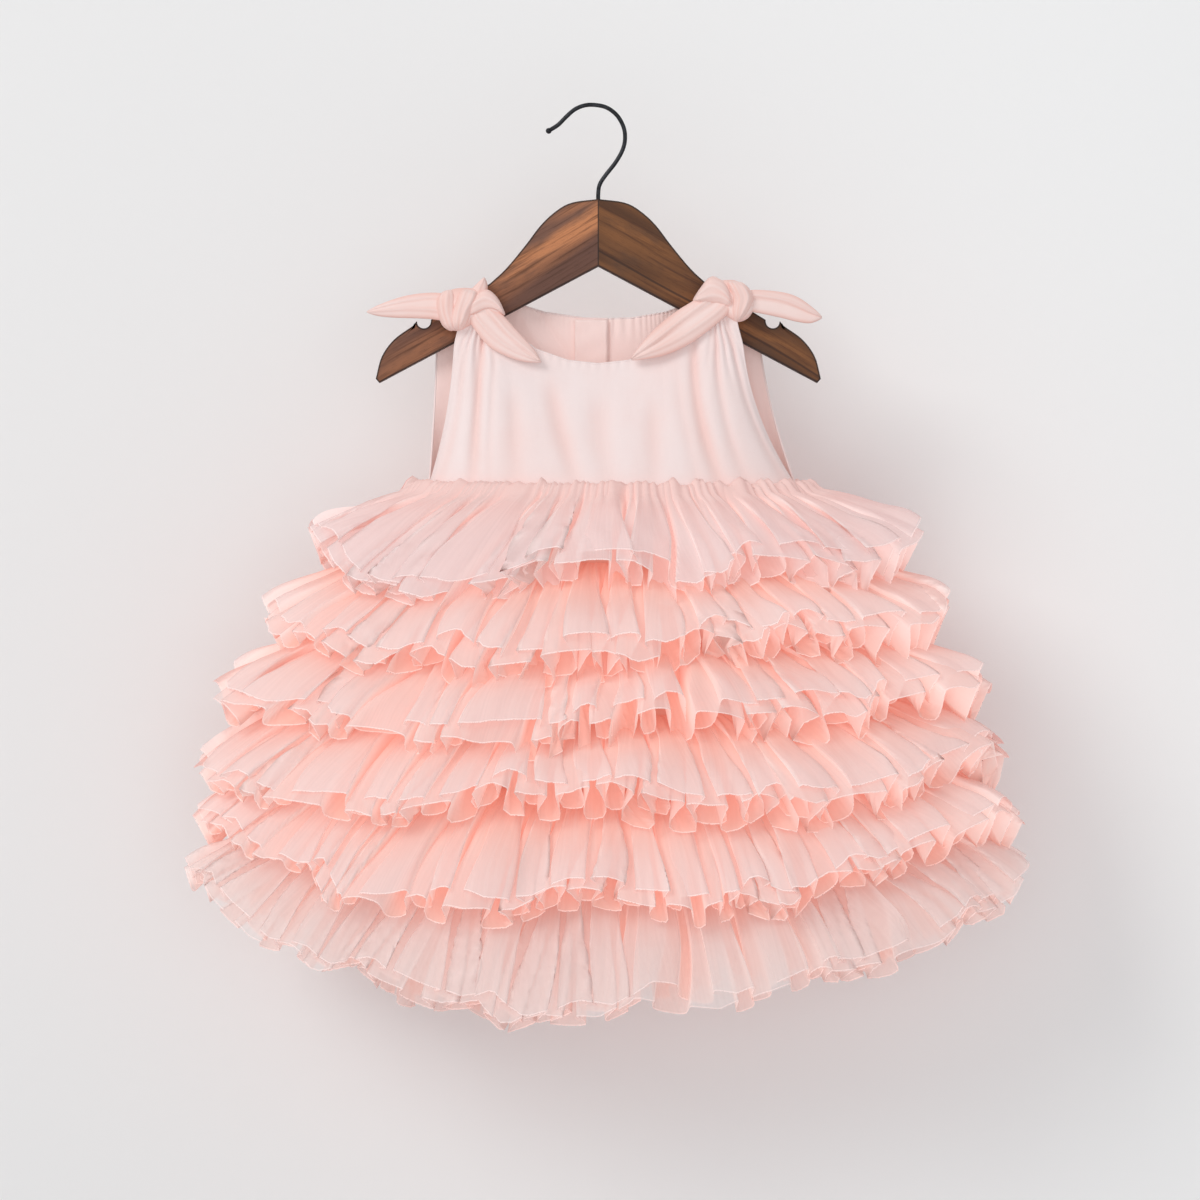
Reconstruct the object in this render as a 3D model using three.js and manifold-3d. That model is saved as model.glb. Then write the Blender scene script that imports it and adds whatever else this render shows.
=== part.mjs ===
// A toddler's party dress on a child's wooden hanger. A plain bodice is tied at the shoulders over the
// hanger's arms, and six tiers of gathered tulle are sewn round a plain skirt base.
// Millimetres, +Z up, the front faces -Y. The origin is where the hook bears on a rail.
import * as THREE from "three";
import { mergeVertices } from "three/addons/utils/BufferGeometryUtils.js";
import Module from "manifold-3d";

const wasm = await Module();
wasm.setup();

// Driving dimensions
const SEAM_GAP = 0.3; // between pieces that are sewn together
const CLOTH = 1.4; // wall of the bodice and the skirt base
const TULLE = 1.2; // wall of a ruffle
const SHANK_X = 4.4; // the hook's shank and the hanger's middle, beside the point that bears on the rail
const CLOSING_X = 7.5; // the back's closing line

const FRONT = -1;
const BACK = 1;
const LEFT = -1;
const RIGHT = 1;

const HANGER = {
  thickness: 12,
  edge: 2, // rounding of its edges
  crownZ: -64.8,
  forkZ: -111.7, // where the lower edges meet, on the middle line
  armSlope: 0.614, // fall of an arm's straight top edge
  lowerSlope: 0.532,
  notchX: 122,
  notchZ: -150.2,
  notchRadius: 5,
  boreDepth: 24,
};
const HOOK = { wire: 3, tipRadius: 2.1, sides: 8, steps: 34 };

// The hook's centre line, from its tip to the foot of its shank
const HOOK_LINE = [
  { x: -30.3, z: -16.7 },
  { x: -23.7, z: -12.5 },
  { x: -18.1, z: -6.9 },
  { x: -12.3, z: -1.9 },
  { x: -5.9, z: 0.9 },
  { x: 1.0, z: 1.5 },
  { x: 10.0, z: -0.3 },
  { x: 17.5, z: -5.9 },
  { x: 22.2, z: -14.4 },
  { x: 23.1, z: -22.8 },
  { x: 21.3, z: -30.3 },
  { x: 16.6, z: -38.7 },
  { x: 9.3, z: -48.1 },
  { x: 5.6, z: -53.9 },
  { x: 4.4, z: -60.0 },
  { x: 4.4, z: -72.0 },
  { x: 4.4, z: -86.0 },
];

// The hanger's outline right of its middle, from the crown to the straight top of the arm
const SHOULDER = [
  { x: 0, z: -64.8 },
  { x: 18, z: -67.2 },
  { x: 28.9, z: -72.8 },
  { x: 40.1, z: -83 },
  { x: 51.1, z: -97.4 },
  { x: 64.6, z: -113.6 },
  { x: 75.7, z: -123.9 },
];
// The arm's end, outside the notch
const ARM_END = [
  { x: 129.5, z: -153.4 },
  { x: 142.7, z: -163 },
  { x: 151.4, z: -175 },
  { x: 155.6, z: -190.5 },
];

const ARM_CORNER_X = 153.2; // the lower corner of the arm's end

// Sections of the skirt base, from the waist to its hem: half width, depth to the front and to the back of
// the side seams, lift of the sides above the middle, and shift from the hanger's middle
const BASE_SECTIONS = [
  { z: -266.8, halfWidth: 128.5, front: 33, back: 27, lift: 0, shift: 10 },
  { z: -320, halfWidth: 150, front: 38, back: 31, lift: 5, shift: 6.5 },
  { z: -373, halfWidth: 170, front: 43, back: 34, lift: 11, shift: 4.5 },
  { z: -426, halfWidth: 187, front: 47, back: 37, lift: 18, shift: 4.5 },
  { z: -478, halfWidth: 201, front: 50, back: 39, lift: 26, shift: 4.5 },
  { z: -534, halfWidth: 213, front: 52, back: 41, lift: 36, shift: 4.5 },
  { z: -585, halfWidth: 222, front: 53, back: 42, lift: 44, shift: 4.5 },
];
// The hems of the tiers, from the waist down. Each tier is sewn to the base section of its own number.
const TIER_HEMS = [
  { z: -338, halfWidth: 217, front: 78, back: 64, lift: 26, shift: 4.5 },
  { z: -386, halfWidth: 238, front: 84, back: 69, lift: 19, shift: 4.5 },
  { z: -437, halfWidth: 261, front: 88, back: 72, lift: 24, shift: 4.5 },
  { z: -486, halfWidth: 276, front: 91, back: 74, lift: 20, shift: 4.5 },
  { z: -557, halfWidth: 284, front: 90, back: 73, lift: 52, shift: 4.5 },
  { z: -627, halfWidth: 289, front: 80, back: 66, lift: 90, shift: 4.5 },
];
// The waves of each tier: how many in front and behind, how deep, how much deeper at the sides, and where
// their scatter starts
const TIER_WAVES = [
  { front: 16, back: 14, depth: 7.0, atSides: 0.8, phase: 0.3 },
  { front: 17, back: 15, depth: 7.5, atSides: 0.1, phase: 1.9 },
  { front: 18, back: 15, depth: 8.0, atSides: 0.4, phase: 3.1 },
  { front: 18, back: 16, depth: 8.0, atSides: 0.2, phase: 4.4 },
  { front: 19, back: 16, depth: 7.5, atSides: 0.0, phase: 5.2 },
  { front: 19, back: 17, depth: 7.0, atSides: 0.2, phase: 0.9 },
];
// How a tier falls from its seam: the share gained of its reach, its drop and the depth of its waves
const TIER_FALL = [
  { reach: 0, drop: 0, wave: 0 },
  { reach: 0.5, drop: 0.36, wave: 0.6 },
  { reach: 1, drop: 1, wave: 1 },
];
const TIER_LIFT_POWER = 2.4; // a hem is flat in the middle and rises towards the sides
const HEM_UNEVENNESS = 3.5;
const COLUMN_SCATTER = 0.22; // of a column's width
const DEPTH_SCATTER = 0.25; // of a wave's depth
const SIDE_WAVE_POWER = 4; // how near the sides the waves deepen
const WAIST_DROP = 2; // the first tier is sewn on just below the waist seam

// The knots at the shoulders, measured from the dress's middle
const KNOT = { x: 93, y: -18.2, z: -140, halfLength: 21, halfDepth: 10.5, halfHeight: 14.5 };
const BAND = { x: 88, tilt: 0.5, radius: 13.2, tube: 3.4, depthShare: 0.82, widen: 1.5, flatten: 0.74 };

// The bodice's top edge from the armhole to the centre, for the front and for the back
const FRONT_TOP = [
  { share: 0, x: 102, y: -17 },
  { share: 0.1, x: 88, y: -18.2 },
  { share: 0.2, x: 73.5, y: -17.5 },
  { share: 0.27, x: 62, y: -15.5, z: -158 },
  { share: 0.35, x: 45, y: -14, z: -170.5 },
  { share: 0.43, x: 22, y: -13.5, z: -178.3 },
  { share: 0.5, x: 0, y: -13.5, z: -180.6 },
];
const BACK_TOP = [
  { share: 0, x: 110, y: 8.2, z: -160 },
  { share: 0.1, x: 97.6, y: 8.2, z: -149.4 },
  { share: 0.25, x: 77, y: 8.2, z: -136.6 },
  { share: 0.33, x: 62, y: 9.5, z: -137 },
  { share: 0.55, x: 42, y: 11, z: -143.4 },
  { share: 0.8, x: 17, y: 12, z: -147.2 },
  { share: 1, x: 0, y: 12, z: -147.7 },
];
const STRAP_SHARE = 0.2; // of the front's top edge, under each knot
const FRONT_ARMHOLE = 2.1; // how soon an armhole's edge leaves the waist
const BACK_ARMHOLE = 1.5;

// The bodice's largest folds, across the front from the left edge and across half of the back: place and
// width as shares of the panel, depth, and height of the upper end as a share of the panel's
const FRONT_FOLDS = [
  { share: 0.06, width: 0.022, depth: 2.6, top: 0.8 },
  { share: 0.145, width: 0.02, depth: 3.6, top: 1 },
  { share: 0.24, width: 0.026, depth: 2.2, top: 0.75 },
  { share: 0.35, width: 0.028, depth: 2.6, top: 0.8 },
  { share: 0.47, width: 0.026, depth: 1.5, top: 0.6 },
  { share: 0.6, width: 0.03, depth: 2.2, top: 0.8 },
  { share: 0.715, width: 0.026, depth: 3.4, top: 0.9 },
  { share: 0.83, width: 0.024, depth: 2.4, top: 0.8 },
  { share: 0.925, width: 0.022, depth: 3.0, top: 1 },
];
const BACK_FOLDS = [
  { share: 0.12, width: 0.05, depth: 2.2, top: 0.9 },
  { share: 0.34, width: 0.06, depth: 2.8, top: 0.85 },
  { share: 0.62, width: 0.06, depth: 2.0, top: 0.7 },
];

// A tail's width and thickness along its length
const TAIL_STATIONS = [
  { along: 0, width: 0.6, thickness: 1 },
  { along: 0.25, width: 0.8, thickness: 1 },
  { along: 0.4, width: 0.98, thickness: 0.8 },
  { along: 0.6, width: 1, thickness: 0.65 },
  { along: 0.75, width: 0.8, thickness: 0.55 },
  { along: 0.92, width: 0.42, thickness: 0.5 },
  { along: 1, width: 0.14, thickness: 0.45 },
];
// The tails: where each leaves the middle of its knot, where its tip lies, its width and how far it arches
const TAILS = {
  tail_left_outer: { root: [-98, -19, -138], tip: [-163, -17, -143.5], width: 19, arch: 2 },
  tail_left_inner: { root: [-93, -24, -146], tip: [-42, -23, -179.5], width: 19, arch: 3 },
  tail_right_outer: { root: [98, -19, -133], tip: [153.5, -17, -148.5], width: 18, arch: 0 },
  tail_right_inner: { root: [88, -24, -146], tip: [20.5, -22.5, -177], width: 22, arch: 4 },
};
const TAIL_THICKNESS = 4.6; // folded cloth
const TAIL_CROWN = 2.2; // how far a tail's middle stands proud of its edges

const PLACKET = { width: 24, wall: 1.2, topZ: -148.4, footZ: -256, topY: 9.7, footY: 22.2 };

// The tie over the arm, from its end behind the arm to the knot: depth, and height above the arm's top edge
const TIE_PATH = [
  { y: 7.6, rise: -9 },
  { y: 7.2, rise: -3 },
  { y: 5.2, rise: 0.9 },
  { y: 0, rise: 1.5 },
  { y: -4.4, rise: 1.3 },
  { y: -6.8, rise: 0.5 },
];
const TIE = { x: 91.6, halfWidth: 12, fold: 0.8 };

const material = (color, roughness, metalness = 0) =>
  new THREE.MeshStandardMaterial({ color, roughness, metalness, side: THREE.DoubleSide });
const cotton = material(0xf3d3cf, 0.75);
const tulle = material(0xf9c4ba, 0.85);
const wood = material(0x6b3f22, 0.5);
const blackWire = material(0x14161a, 0.35, 0.8);

const vec = (x, y, z) => new THREE.Vector3(x, y, z);
const between = (from, to) => to.clone().sub(from);
const mix = THREE.MathUtils.lerp;
const signedPower = (value, power) => Math.sign(value) * Math.abs(value) ** power;

// An even-looking scatter from -1 to 1 that is the same on every run.
function scatter(seed) {
  const wild = Math.sin(seed * 12.9898 + 4.1) * 43758.5453;
  return 2 * (wild - Math.floor(wild)) - 1;
}

// A row of a table at a share between two of its rows, with every column blended.
function rowAt(table, key, value) {
  const upper = Math.max(1, table.findIndex((row) => row[key] >= value));
  const [a, b] = [table[upper - 1], table[upper]];
  const blend = THREE.MathUtils.clamp((value - a[key]) / (b[key] - a[key]), 0, 1);
  const columns = Object.keys(a).map((name) => [name, mix(a[name], b[name] ?? a[name], blend)]);
  return Object.fromEntries(columns);
}

// One half of an oval section. Its angle runs from -90 to 90 degrees, from one side seam to the other.
function ovalPoint(section, side, angle) {
  const across = signedPower(Math.sin(angle), 0.9);
  const depth = side === FRONT ? section.front : section.back;
  return vec(
    section.shift - side * section.halfWidth * across,
    side * depth * Math.abs(Math.cos(angle)) ** 0.8,
    section.z + section.lift * Math.abs(across) ** TIER_LIFT_POWER,
  );
}

// Points of half a section at even shares of its length, so that waves are as wide at the sides as in front.
function ovalLine(section, side, shares) {
  const samples = 240;
  const points = Array.from({ length: samples + 1 }, (_, i) =>
    ovalPoint(section, side, Math.PI * (i / samples - 0.5)),
  );
  const travelled = [0];
  for (let i = 1; i <= samples; i++) travelled[i] = travelled[i - 1] + points[i].distanceTo(points[i - 1]);
  const total = travelled[samples];
  const margin = SEAM_GAP / 2 / total;
  return shares.map((share) => {
    const goal = mix(margin, 1 - margin, share) * total;
    const i = Math.min(samples, Math.max(1, travelled.findIndex((t) => t >= goal)));
    const beyond = (goal - travelled[i - 1]) / (travelled[i] - travelled[i - 1]);
    return points[i - 1].clone().lerp(points[i], beyond);
  });
}

// The outward normal at each point of a grid. At a side seam it stays in the seam's plane.
function gridNormals(grid) {
  const last = (list) => list.length - 1;
  return grid.map((row, r) =>
    row.map((point, c) => {
      const down = between(grid[Math.max(r - 1, 0)][c], grid[Math.min(r + 1, last(grid))][c]);
      const across = between(row[Math.max(c - 1, 0)], row[Math.min(c + 1, last(row))]);
      const normal = down.cross(across);
      if (Math.abs(point.y) < SEAM_GAP) normal.setY(0);
      return normal.normalize();
    }),
  );
}

// A geometry from points and the corners of its triangles.
function surface(points, index) {
  const geometry = new THREE.BufferGeometry().setFromPoints(points);
  geometry.setIndex(index);
  geometry.computeVertexNormals();
  return geometry;
}

// A cloth wall: the grid is its inner face, and its outer face lies one thickness outwards.
function wall(grid, thickness) {
  const rows = grid.length;
  const cols = grid[0].length;
  const normals = gridNormals(grid);
  const inner = grid.flat();
  const outer = inner.map((p, i) => p.clone().addScaledVector(normals.flat()[i], thickness));
  const skip = inner.length;
  const at = (r, c) => r * cols + c;
  const index = [];
  const quad = (a, b, c, d) => index.push(a, b, c, a, c, d);
  for (let r = 0; r + 1 < rows; r++)
    for (let c = 0; c + 1 < cols; c++) {
      const [a, b, c1, d] = [at(r, c), at(r + 1, c), at(r + 1, c + 1), at(r, c + 1)];
      quad(a + skip, b + skip, c1 + skip, d + skip);
      quad(a, d, c1, b);
    }
  const rim = (p, q) => quad(q + skip, p + skip, p, q);
  for (let r = 0; r + 1 < rows; r++) {
    rim(at(r, 0), at(r + 1, 0));
    rim(at(r + 1, cols - 1), at(r, cols - 1));
  }
  for (let c = 0; c + 1 < cols; c++) {
    rim(at(rows - 1, c), at(rows - 1, c + 1));
    rim(at(0, c + 1), at(0, c));
  }
  return surface([...inner, ...outer], index);
}

const evenShares = (count) => Array.from({ length: count + 1 }, (_, i) => i / count);

function named(name, geometry, finish) {
  const mesh = new THREE.Mesh(geometry, finish);
  mesh.name = name;
  return mesh;
}

// Turns a closed geometry into a solid for joining and cutting, and back.
function toSolid(geometry) {
  const bare = geometry.clone();
  bare.deleteAttribute("normal");
  bare.deleteAttribute("uv");
  const merged = mergeVertices(bare, 1e-3);
  return new wasm.Manifold(
    new wasm.Mesh({
      numProp: 3,
      vertProperties: new Float32Array(merged.attributes.position.array),
      triVerts: new Uint32Array(merged.index.array),
    }),
  );
}
function toGeometry(solid) {
  const mesh = solid.getMesh();
  const geometry = new THREE.BufferGeometry();
  geometry.setAttribute("position", new THREE.Float32BufferAttribute(mesh.vertProperties, 3));
  geometry.setIndex([...mesh.triVerts]);
  geometry.computeVertexNormals();
  return geometry;
}

// A smooth line in the hanger's plane, through a table's points.
function smoothLine(table) {
  return new THREE.CatmullRomCurve3(table.map((p) => vec(p.x, 0, p.z)), false, "centripetal");
}

// Hook: a bent wire with a rounded tip
function hookGeometry() {
  const line = smoothLine(HOOK_LINE);
  const section = new THREE.Shape();
  for (let i = 0; i < HOOK.sides; i++) {
    const turn = (2 * Math.PI * i) / HOOK.sides;
    const corner = [(HOOK.wire / 2) * Math.cos(turn), (HOOK.wire / 2) * Math.sin(turn)];
    if (i) section.lineTo(...corner);
    else section.moveTo(...corner);
  }
  section.closePath();
  const wire = new THREE.ExtrudeGeometry(section, { steps: HOOK.steps, extrudePath: line, curveSegments: 1 });
  const tip = new THREE.SphereGeometry(HOOK.tipRadius, 12, 8);
  tip.translate(HOOK_LINE[0].x, 0, HOOK_LINE[0].z);
  return toGeometry(toSolid(wire).add(toSolid(tip)));
}

// Hanger: one half's outline, mirrored, with a round notch in each arm and a blind bore for the shank
function hangerGeometry() {
  const armEndZ = (x) => HANGER.forkZ - HANGER.lowerSlope * x;
  const crown = smoothLine(SHOULDER).getPoints(14);
  const inside = HANGER.notchX - HANGER.notchRadius;
  const straight = vec(inside, 0, SHOULDER.at(-1).z - HANGER.armSlope * (inside - SHOULDER.at(-1).x));
  const notch = evenShares(6).map((share) => {
    const turn = Math.PI * (1 + share);
    return vec(
      HANGER.notchX + HANGER.notchRadius * Math.cos(turn),
      0,
      HANGER.notchZ + HANGER.notchRadius * Math.sin(turn),
    );
  });
  const end = smoothLine(ARM_END).getPoints(6);
  const corner = vec(ARM_CORNER_X, 0, armEndZ(ARM_CORNER_X));
  const half = [...crown, straight, ...notch, ...end, corner];
  const outline = [...half.map((p) => [p.x, p.z]), [0, HANGER.forkZ]];
  const mirrored = half.slice(1).toReversed().map((p) => [-p.x, p.z]);
  const shape = new THREE.Shape([...outline, ...mirrored].map(([x, z]) => new THREE.Vector2(x, z)));
  const body = new THREE.ExtrudeGeometry(shape, {
    depth: HANGER.thickness - 2 * HANGER.edge,
    bevelEnabled: true,
    bevelThickness: HANGER.edge,
    bevelSize: HANGER.edge / 2,
    bevelOffset: -HANGER.edge / 2,
    bevelSegments: 2,
    curveSegments: 1,
  });
  body.rotateX(Math.PI / 2).translate(0, HANGER.thickness / 2 - HANGER.edge, 0);
  const boreRadius = HOOK.wire / 2 + SEAM_GAP;
  const bore = new THREE.CylinderGeometry(boreRadius, boreRadius, 2 * HANGER.boreDepth, 12);
  bore.rotateX(Math.PI / 2).translate(0, 0, HANGER.crownZ);
  return toGeometry(toSolid(body).subtract(toSolid(bore)));
}

// Skirt base: one wall for the front and one for the back, from the waist to a plain hem under the last tier
function baseGeometry(side) {
  const shares = evenShares(26);
  return wall(BASE_SECTIONS.map((section) => ovalLine(section, side, shares)), CLOTH);
}

// A line on the base's outer face, where a tier is sewn on.
function seamLine(level, side, shares) {
  const line = ovalLine(BASE_SECTIONS[level], side, shares);
  const lower = ovalLine(BASE_SECTIONS[level + 1], side, shares);
  const normals = gridNormals([line, lower])[0];
  const drop = level === 0 ? WAIST_DROP : 0;
  return line.map((point, c) => {
    const down = between(point, lower[c]).normalize();
    return point.addScaledVector(normals[c], CLOTH + 2 * SEAM_GAP).addScaledVector(down, drop);
  });
}

// A tier: its waves are folds with flat tops, four columns to a wave, that open from the gathered seam
function tierGeometry(level, side) {
  const edge = TIER_HEMS[level];
  const waves = TIER_WAVES[level];
  const columns = 4 * (side === FRONT ? waves.front : waves.back);
  const shares = evenShares(columns).map((share, c) =>
    c % columns ? share + (COLUMN_SCATTER / columns) * scatter(c * 1.7 + waves.phase) : share,
  );
  const seam = seamLine(level, side, shares);
  const hem = ovalLine(edge, side, shares);
  const plain = TIER_FALL.map(({ reach, drop }) =>
    seam.map((top, c) => top.clone().lerp(hem[c], reach).setZ(mix(top.z, hem[c].z, drop))),
  );
  const normals = gridNormals(plain);
  const grid = plain.map((row, r) =>
    row.map((point, c) => {
      if (c % columns === 0) return point;
      const fold = Math.floor((c + 1) / 2);
      const outwards = fold % 2 ? 1 : -1;
      const sideways = Math.abs((hem[c].x - edge.shift) / edge.halfWidth) ** SIDE_WAVE_POWER;
      const varied = 1 + DEPTH_SCATTER * scatter(fold + 7 * waves.phase);
      const depth = outwards * waves.depth * varied * (1 + waves.atSides * sideways) * TIER_FALL[r].wave;
      const uneven = HEM_UNEVENNESS * scatter(fold * 2.3 + waves.phase) * TIER_FALL[r].drop ** 2;
      return point.addScaledVector(normals[r][c], depth).add(vec(0, 0, uneven));
    }),
  );
  return wall(grid, TULLE);
}

// The underside of a knot, where the front strap runs into it.
function knotUnderside(x) {
  const off = Math.min(1, Math.abs(x - KNOT.x) / KNOT.halfLength);
  return KNOT.z - KNOT.halfHeight * Math.sqrt(1 - off * off) - SEAM_GAP - 0.9;
}

// How deep the folds are at a place on a panel: 0 on its flat parts.
function foldDepth(folds, share, height) {
  return folds.reduce((sum, fold) => {
    const near = Math.exp(-(((share - fold.share) / fold.width) ** 2));
    const belowTop = THREE.MathUtils.smoothstep(fold.top + 0.15 - height, 0, 0.3);
    const aboveWaist = THREE.MathUtils.smoothstep(height, -0.3, 0.35);
    return sum + fold.depth * near * belowTop * aboveWaist;
  }, 0);
}

// A bodice panel: it stands on the waist section and reaches up to its top edge, with the folds pressed in.
function panelGrid(waist, topAt, side, folds, rows) {
  const armhole = side === FRONT ? FRONT_ARMHOLE : BACK_ARMHOLE;
  const heights = evenShares(rows).toReversed();
  return heights.map((height) =>
    waist.map((foot, c) => {
      const share = c / (waist.length - 1);
      const top = topAt(share);
      const spread = (1 - height) ** armhole;
      const fullness = (1 - height) ** 1.4;
      const edge = Math.min(1, 8 * share, 8 * (1 - share));
      const pressed = foldDepth(folds, share, height) * edge;
      return vec(
        mix(top.x, foot.x, spread),
        mix(top.y, foot.y, fullness) - side * pressed,
        mix(foot.z, top.z, height),
      );
    }),
  );
}

const WAIST = { ...BASE_SECTIONS[0], z: BASE_SECTIONS[0].z + 3 * SEAM_GAP };

// The bodice front: under the knots its top edge follows their undersides.
function bodiceFront() {
  const table = FRONT_TOP.map((row) => ({ ...row, z: row.z ?? knotUnderside(row.x) }));
  const topAt = (share) => {
    const row = rowAt(table, "share", Math.min(share, 1 - share));
    const height = row.share < STRAP_SHARE ? knotUnderside(row.x) : row.z;
    return vec(share < 0.5 ? -row.x : row.x, row.y, height);
  };
  const waist = ovalLine(WAIST, FRONT, evenShares(36));
  return wall(panelGrid(waist, topAt, FRONT, FRONT_FOLDS, 6), CLOTH);
}

// Half of the back, from its side seam to the centre-back closing.
function bodiceBack(hand) {
  const columns = 14;
  const whole = ovalLine(WAIST, BACK, evenShares(2 * columns));
  const halfLine = hand === RIGHT ? whole.slice(0, columns + 1) : whole.slice(columns);
  const atCentre = hand === RIGHT ? columns : 0;
  const closing = CLOSING_X + hand * 0.2;
  const waist = halfLine.map((p, c) => (c === atCentre ? p.clone().setX(closing) : p));
  const topAt = (share) => {
    const row = rowAt(BACK_TOP, "share", hand === RIGHT ? share : 1 - share);
    return vec(hand * row.x + closing * (1 - row.x / BACK_TOP[0].x), row.y, row.z);
  };
  const folds = BACK_FOLDS.map((fold) => (hand === RIGHT ? fold : { ...fold, share: 1 - fold.share }));
  return wall(panelGrid(waist, topAt, BACK, folds, 5), CLOTH);
}

// The strip inside the centre-back closing, seen through the neck
function placketGeometry() {
  const rows = evenShares(5).map((height) => {
    const z = mix(PLACKET.topZ, PLACKET.footZ, height);
    const y = mix(PLACKET.topY, PLACKET.footY, height ** 1.2);
    return [0, 0.5, 1].map((share) => vec(CLOSING_X - mix(1, PLACKET.width, share), y, z));
  });
  return wall(rows, PLACKET.wall);
}

// A tie that comes up behind the arm, passes over it and runs into the knot
function tieGeometry(hand) {
  const slope = Math.atan(HANGER.armSlope);
  const along = vec(hand * Math.cos(slope), 0, -Math.sin(slope));
  const up = vec(hand * Math.sin(slope), 0, Math.cos(slope));
  const straight = SHOULDER.at(-1);
  const armTop = vec(hand * TIE.x, 0, straight.z - HANGER.armSlope * (TIE.x - straight.x));
  const rows = TIE_PATH.map(({ y, rise }) =>
    evenShares(5).map((share) => {
      const fold = TIE.fold * (1 + Math.cos(share * 4 * Math.PI));
      const behind = y > 6;
      const point = armTop.clone().addScaledVector(up, behind ? rise : rise + fold);
      point.addScaledVector(along, hand * mix(TIE.halfWidth, -TIE.halfWidth, share));
      return point.setY(behind ? y + fold : y);
    }),
  );
  return wall(rows.toReversed(), CLOTH);
}

// Knot: a round lump of cloth with one turn of the tie drawn tight round it, grown where it clears room
// for itself in a tail
function knotSolid(hand, grow = 0) {
  const lump = new THREE.SphereGeometry(1, 14, 8);
  lump.scale(KNOT.halfLength + grow, KNOT.halfDepth + grow, KNOT.halfHeight + grow);
  lump.translate(hand * KNOT.x, KNOT.y, KNOT.z);
  const turn = new THREE.TorusGeometry(BAND.radius, BAND.tube + grow, 6, 16);
  turn.scale(1, BAND.depthShare, 1).rotateY(Math.PI / 2).rotateY(-hand * BAND.tilt);
  turn.scale(BAND.widen, BAND.flatten, 1).translate(hand * BAND.x, KNOT.y, KNOT.z);
  return toSolid(lump).add(toSolid(turn));
}

// Tail: a flat tie end with a fold along it, wide in the middle and pointed at the tip
function tailGeometry(tail) {
  const root = vec(...tail.root);
  const tip = vec(...tail.tip);
  const length = between(root, tip);
  const across = vec(0, 1, 0).cross(length).normalize();
  if (across.z < 0) across.negate();
  const out = vec(0, -1, 0);
  const sides = 10;
  const rings = TAIL_STATIONS.map(({ along, width, thickness }) => {
    const middle = root.clone().addScaledVector(length, along);
    middle.addScaledVector(across, tail.arch * Math.sin(Math.PI * along));
    return Array.from({ length: sides }, (_, i) => {
      const turn = (2 * Math.PI * i) / sides;
      const wide = (tail.width / 2) * width * Math.cos(turn);
      const crown = TAIL_CROWN * width * Math.sin(turn) ** 2;
      const deep = (TAIL_THICKNESS / 2) * thickness * Math.sin(turn) + crown;
      return middle.clone().addScaledVector(across, wide).addScaledVector(out, deep);
    });
  });
  const hand = Math.sign(tail.root[0]);
  return toGeometry(largestPiece(toSolid(loft(rings)).subtract(knotSolid(hand, 2 * SEAM_GAP))));
}

// The biggest of a solid's separate bodies.
function largestPiece(solid) {
  return solid.decompose().reduce((best, piece) => (piece.volume() > best.volume() ? piece : best));
}

// A closed solid through rings of points, with flat ends.
function loft(rings) {
  const sides = rings[0].length;
  const centre = (ring) => ring.reduce((sum, p) => sum.add(p), vec(0, 0, 0)).divideScalar(sides);
  const points = [...rings.flat(), centre(rings[0]), centre(rings.at(-1))];
  const [start, end] = [points.length - 2, points.length - 1];
  const index = [];
  for (let i = 0; i < sides; i++) {
    const j = (i + 1) % sides;
    for (let r = 0; r + 1 < rings.length; r++) {
      const [a, b, c, d] = [r * sides + i, r * sides + j, (r + 1) * sides + j, (r + 1) * sides + i];
      index.push(a, b, c, a, c, d);
    }
    index.push(start, j, i);
    index.push(end, (rings.length - 1) * sides + i, (rings.length - 1) * sides + j);
  }
  const made = surface(points, index);
  return toSolid(made).volume() < 0 ? surface(points, index.toReversed()) : made;
}

const root = new THREE.Group();
root.add(named("hook", hookGeometry(), blackWire));

const hanger = new THREE.Group();
hanger.position.x = SHANK_X;
hanger.add(named("hanger_wood", hangerGeometry(), wood));
root.add(hanger);

const dress = new THREE.Group();
dress.position.x = SHANK_X;
dress.add(named("bodice_front", bodiceFront(), cotton));
dress.add(named("bodice_back_left", bodiceBack(LEFT), cotton));
dress.add(named("bodice_back_right", bodiceBack(RIGHT), cotton));
dress.add(named("back_placket", placketGeometry(), cotton));
dress.add(named("skirt_base_front", baseGeometry(FRONT), cotton));
dress.add(named("skirt_base_back", baseGeometry(BACK), cotton));
for (const [hand, word] of [[LEFT, "left"], [RIGHT, "right"]]) {
  dress.add(named(`tie_${word}`, tieGeometry(hand), cotton));
  dress.add(named(`knot_${word}`, toGeometry(knotSolid(hand)), cotton));
}
for (const [name, tail] of Object.entries(TAILS)) dress.add(named(name, tailGeometry(tail), cotton));
TIER_HEMS.forEach((_, level) => {
  dress.add(named(`tier_${level + 1}_front`, tierGeometry(level, FRONT), tulle));
  dress.add(named(`tier_${level + 1}_back`, tierGeometry(level, BACK), tulle));
});
root.add(dress);

export default root;
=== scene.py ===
# A toddler's party dress on a wooden hanger, with tied shoulders, a cotton bodice and six tulle tiers.
# Tables are in millimetres, like the solids they dress. Every Blender object is in metres.
import math

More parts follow.
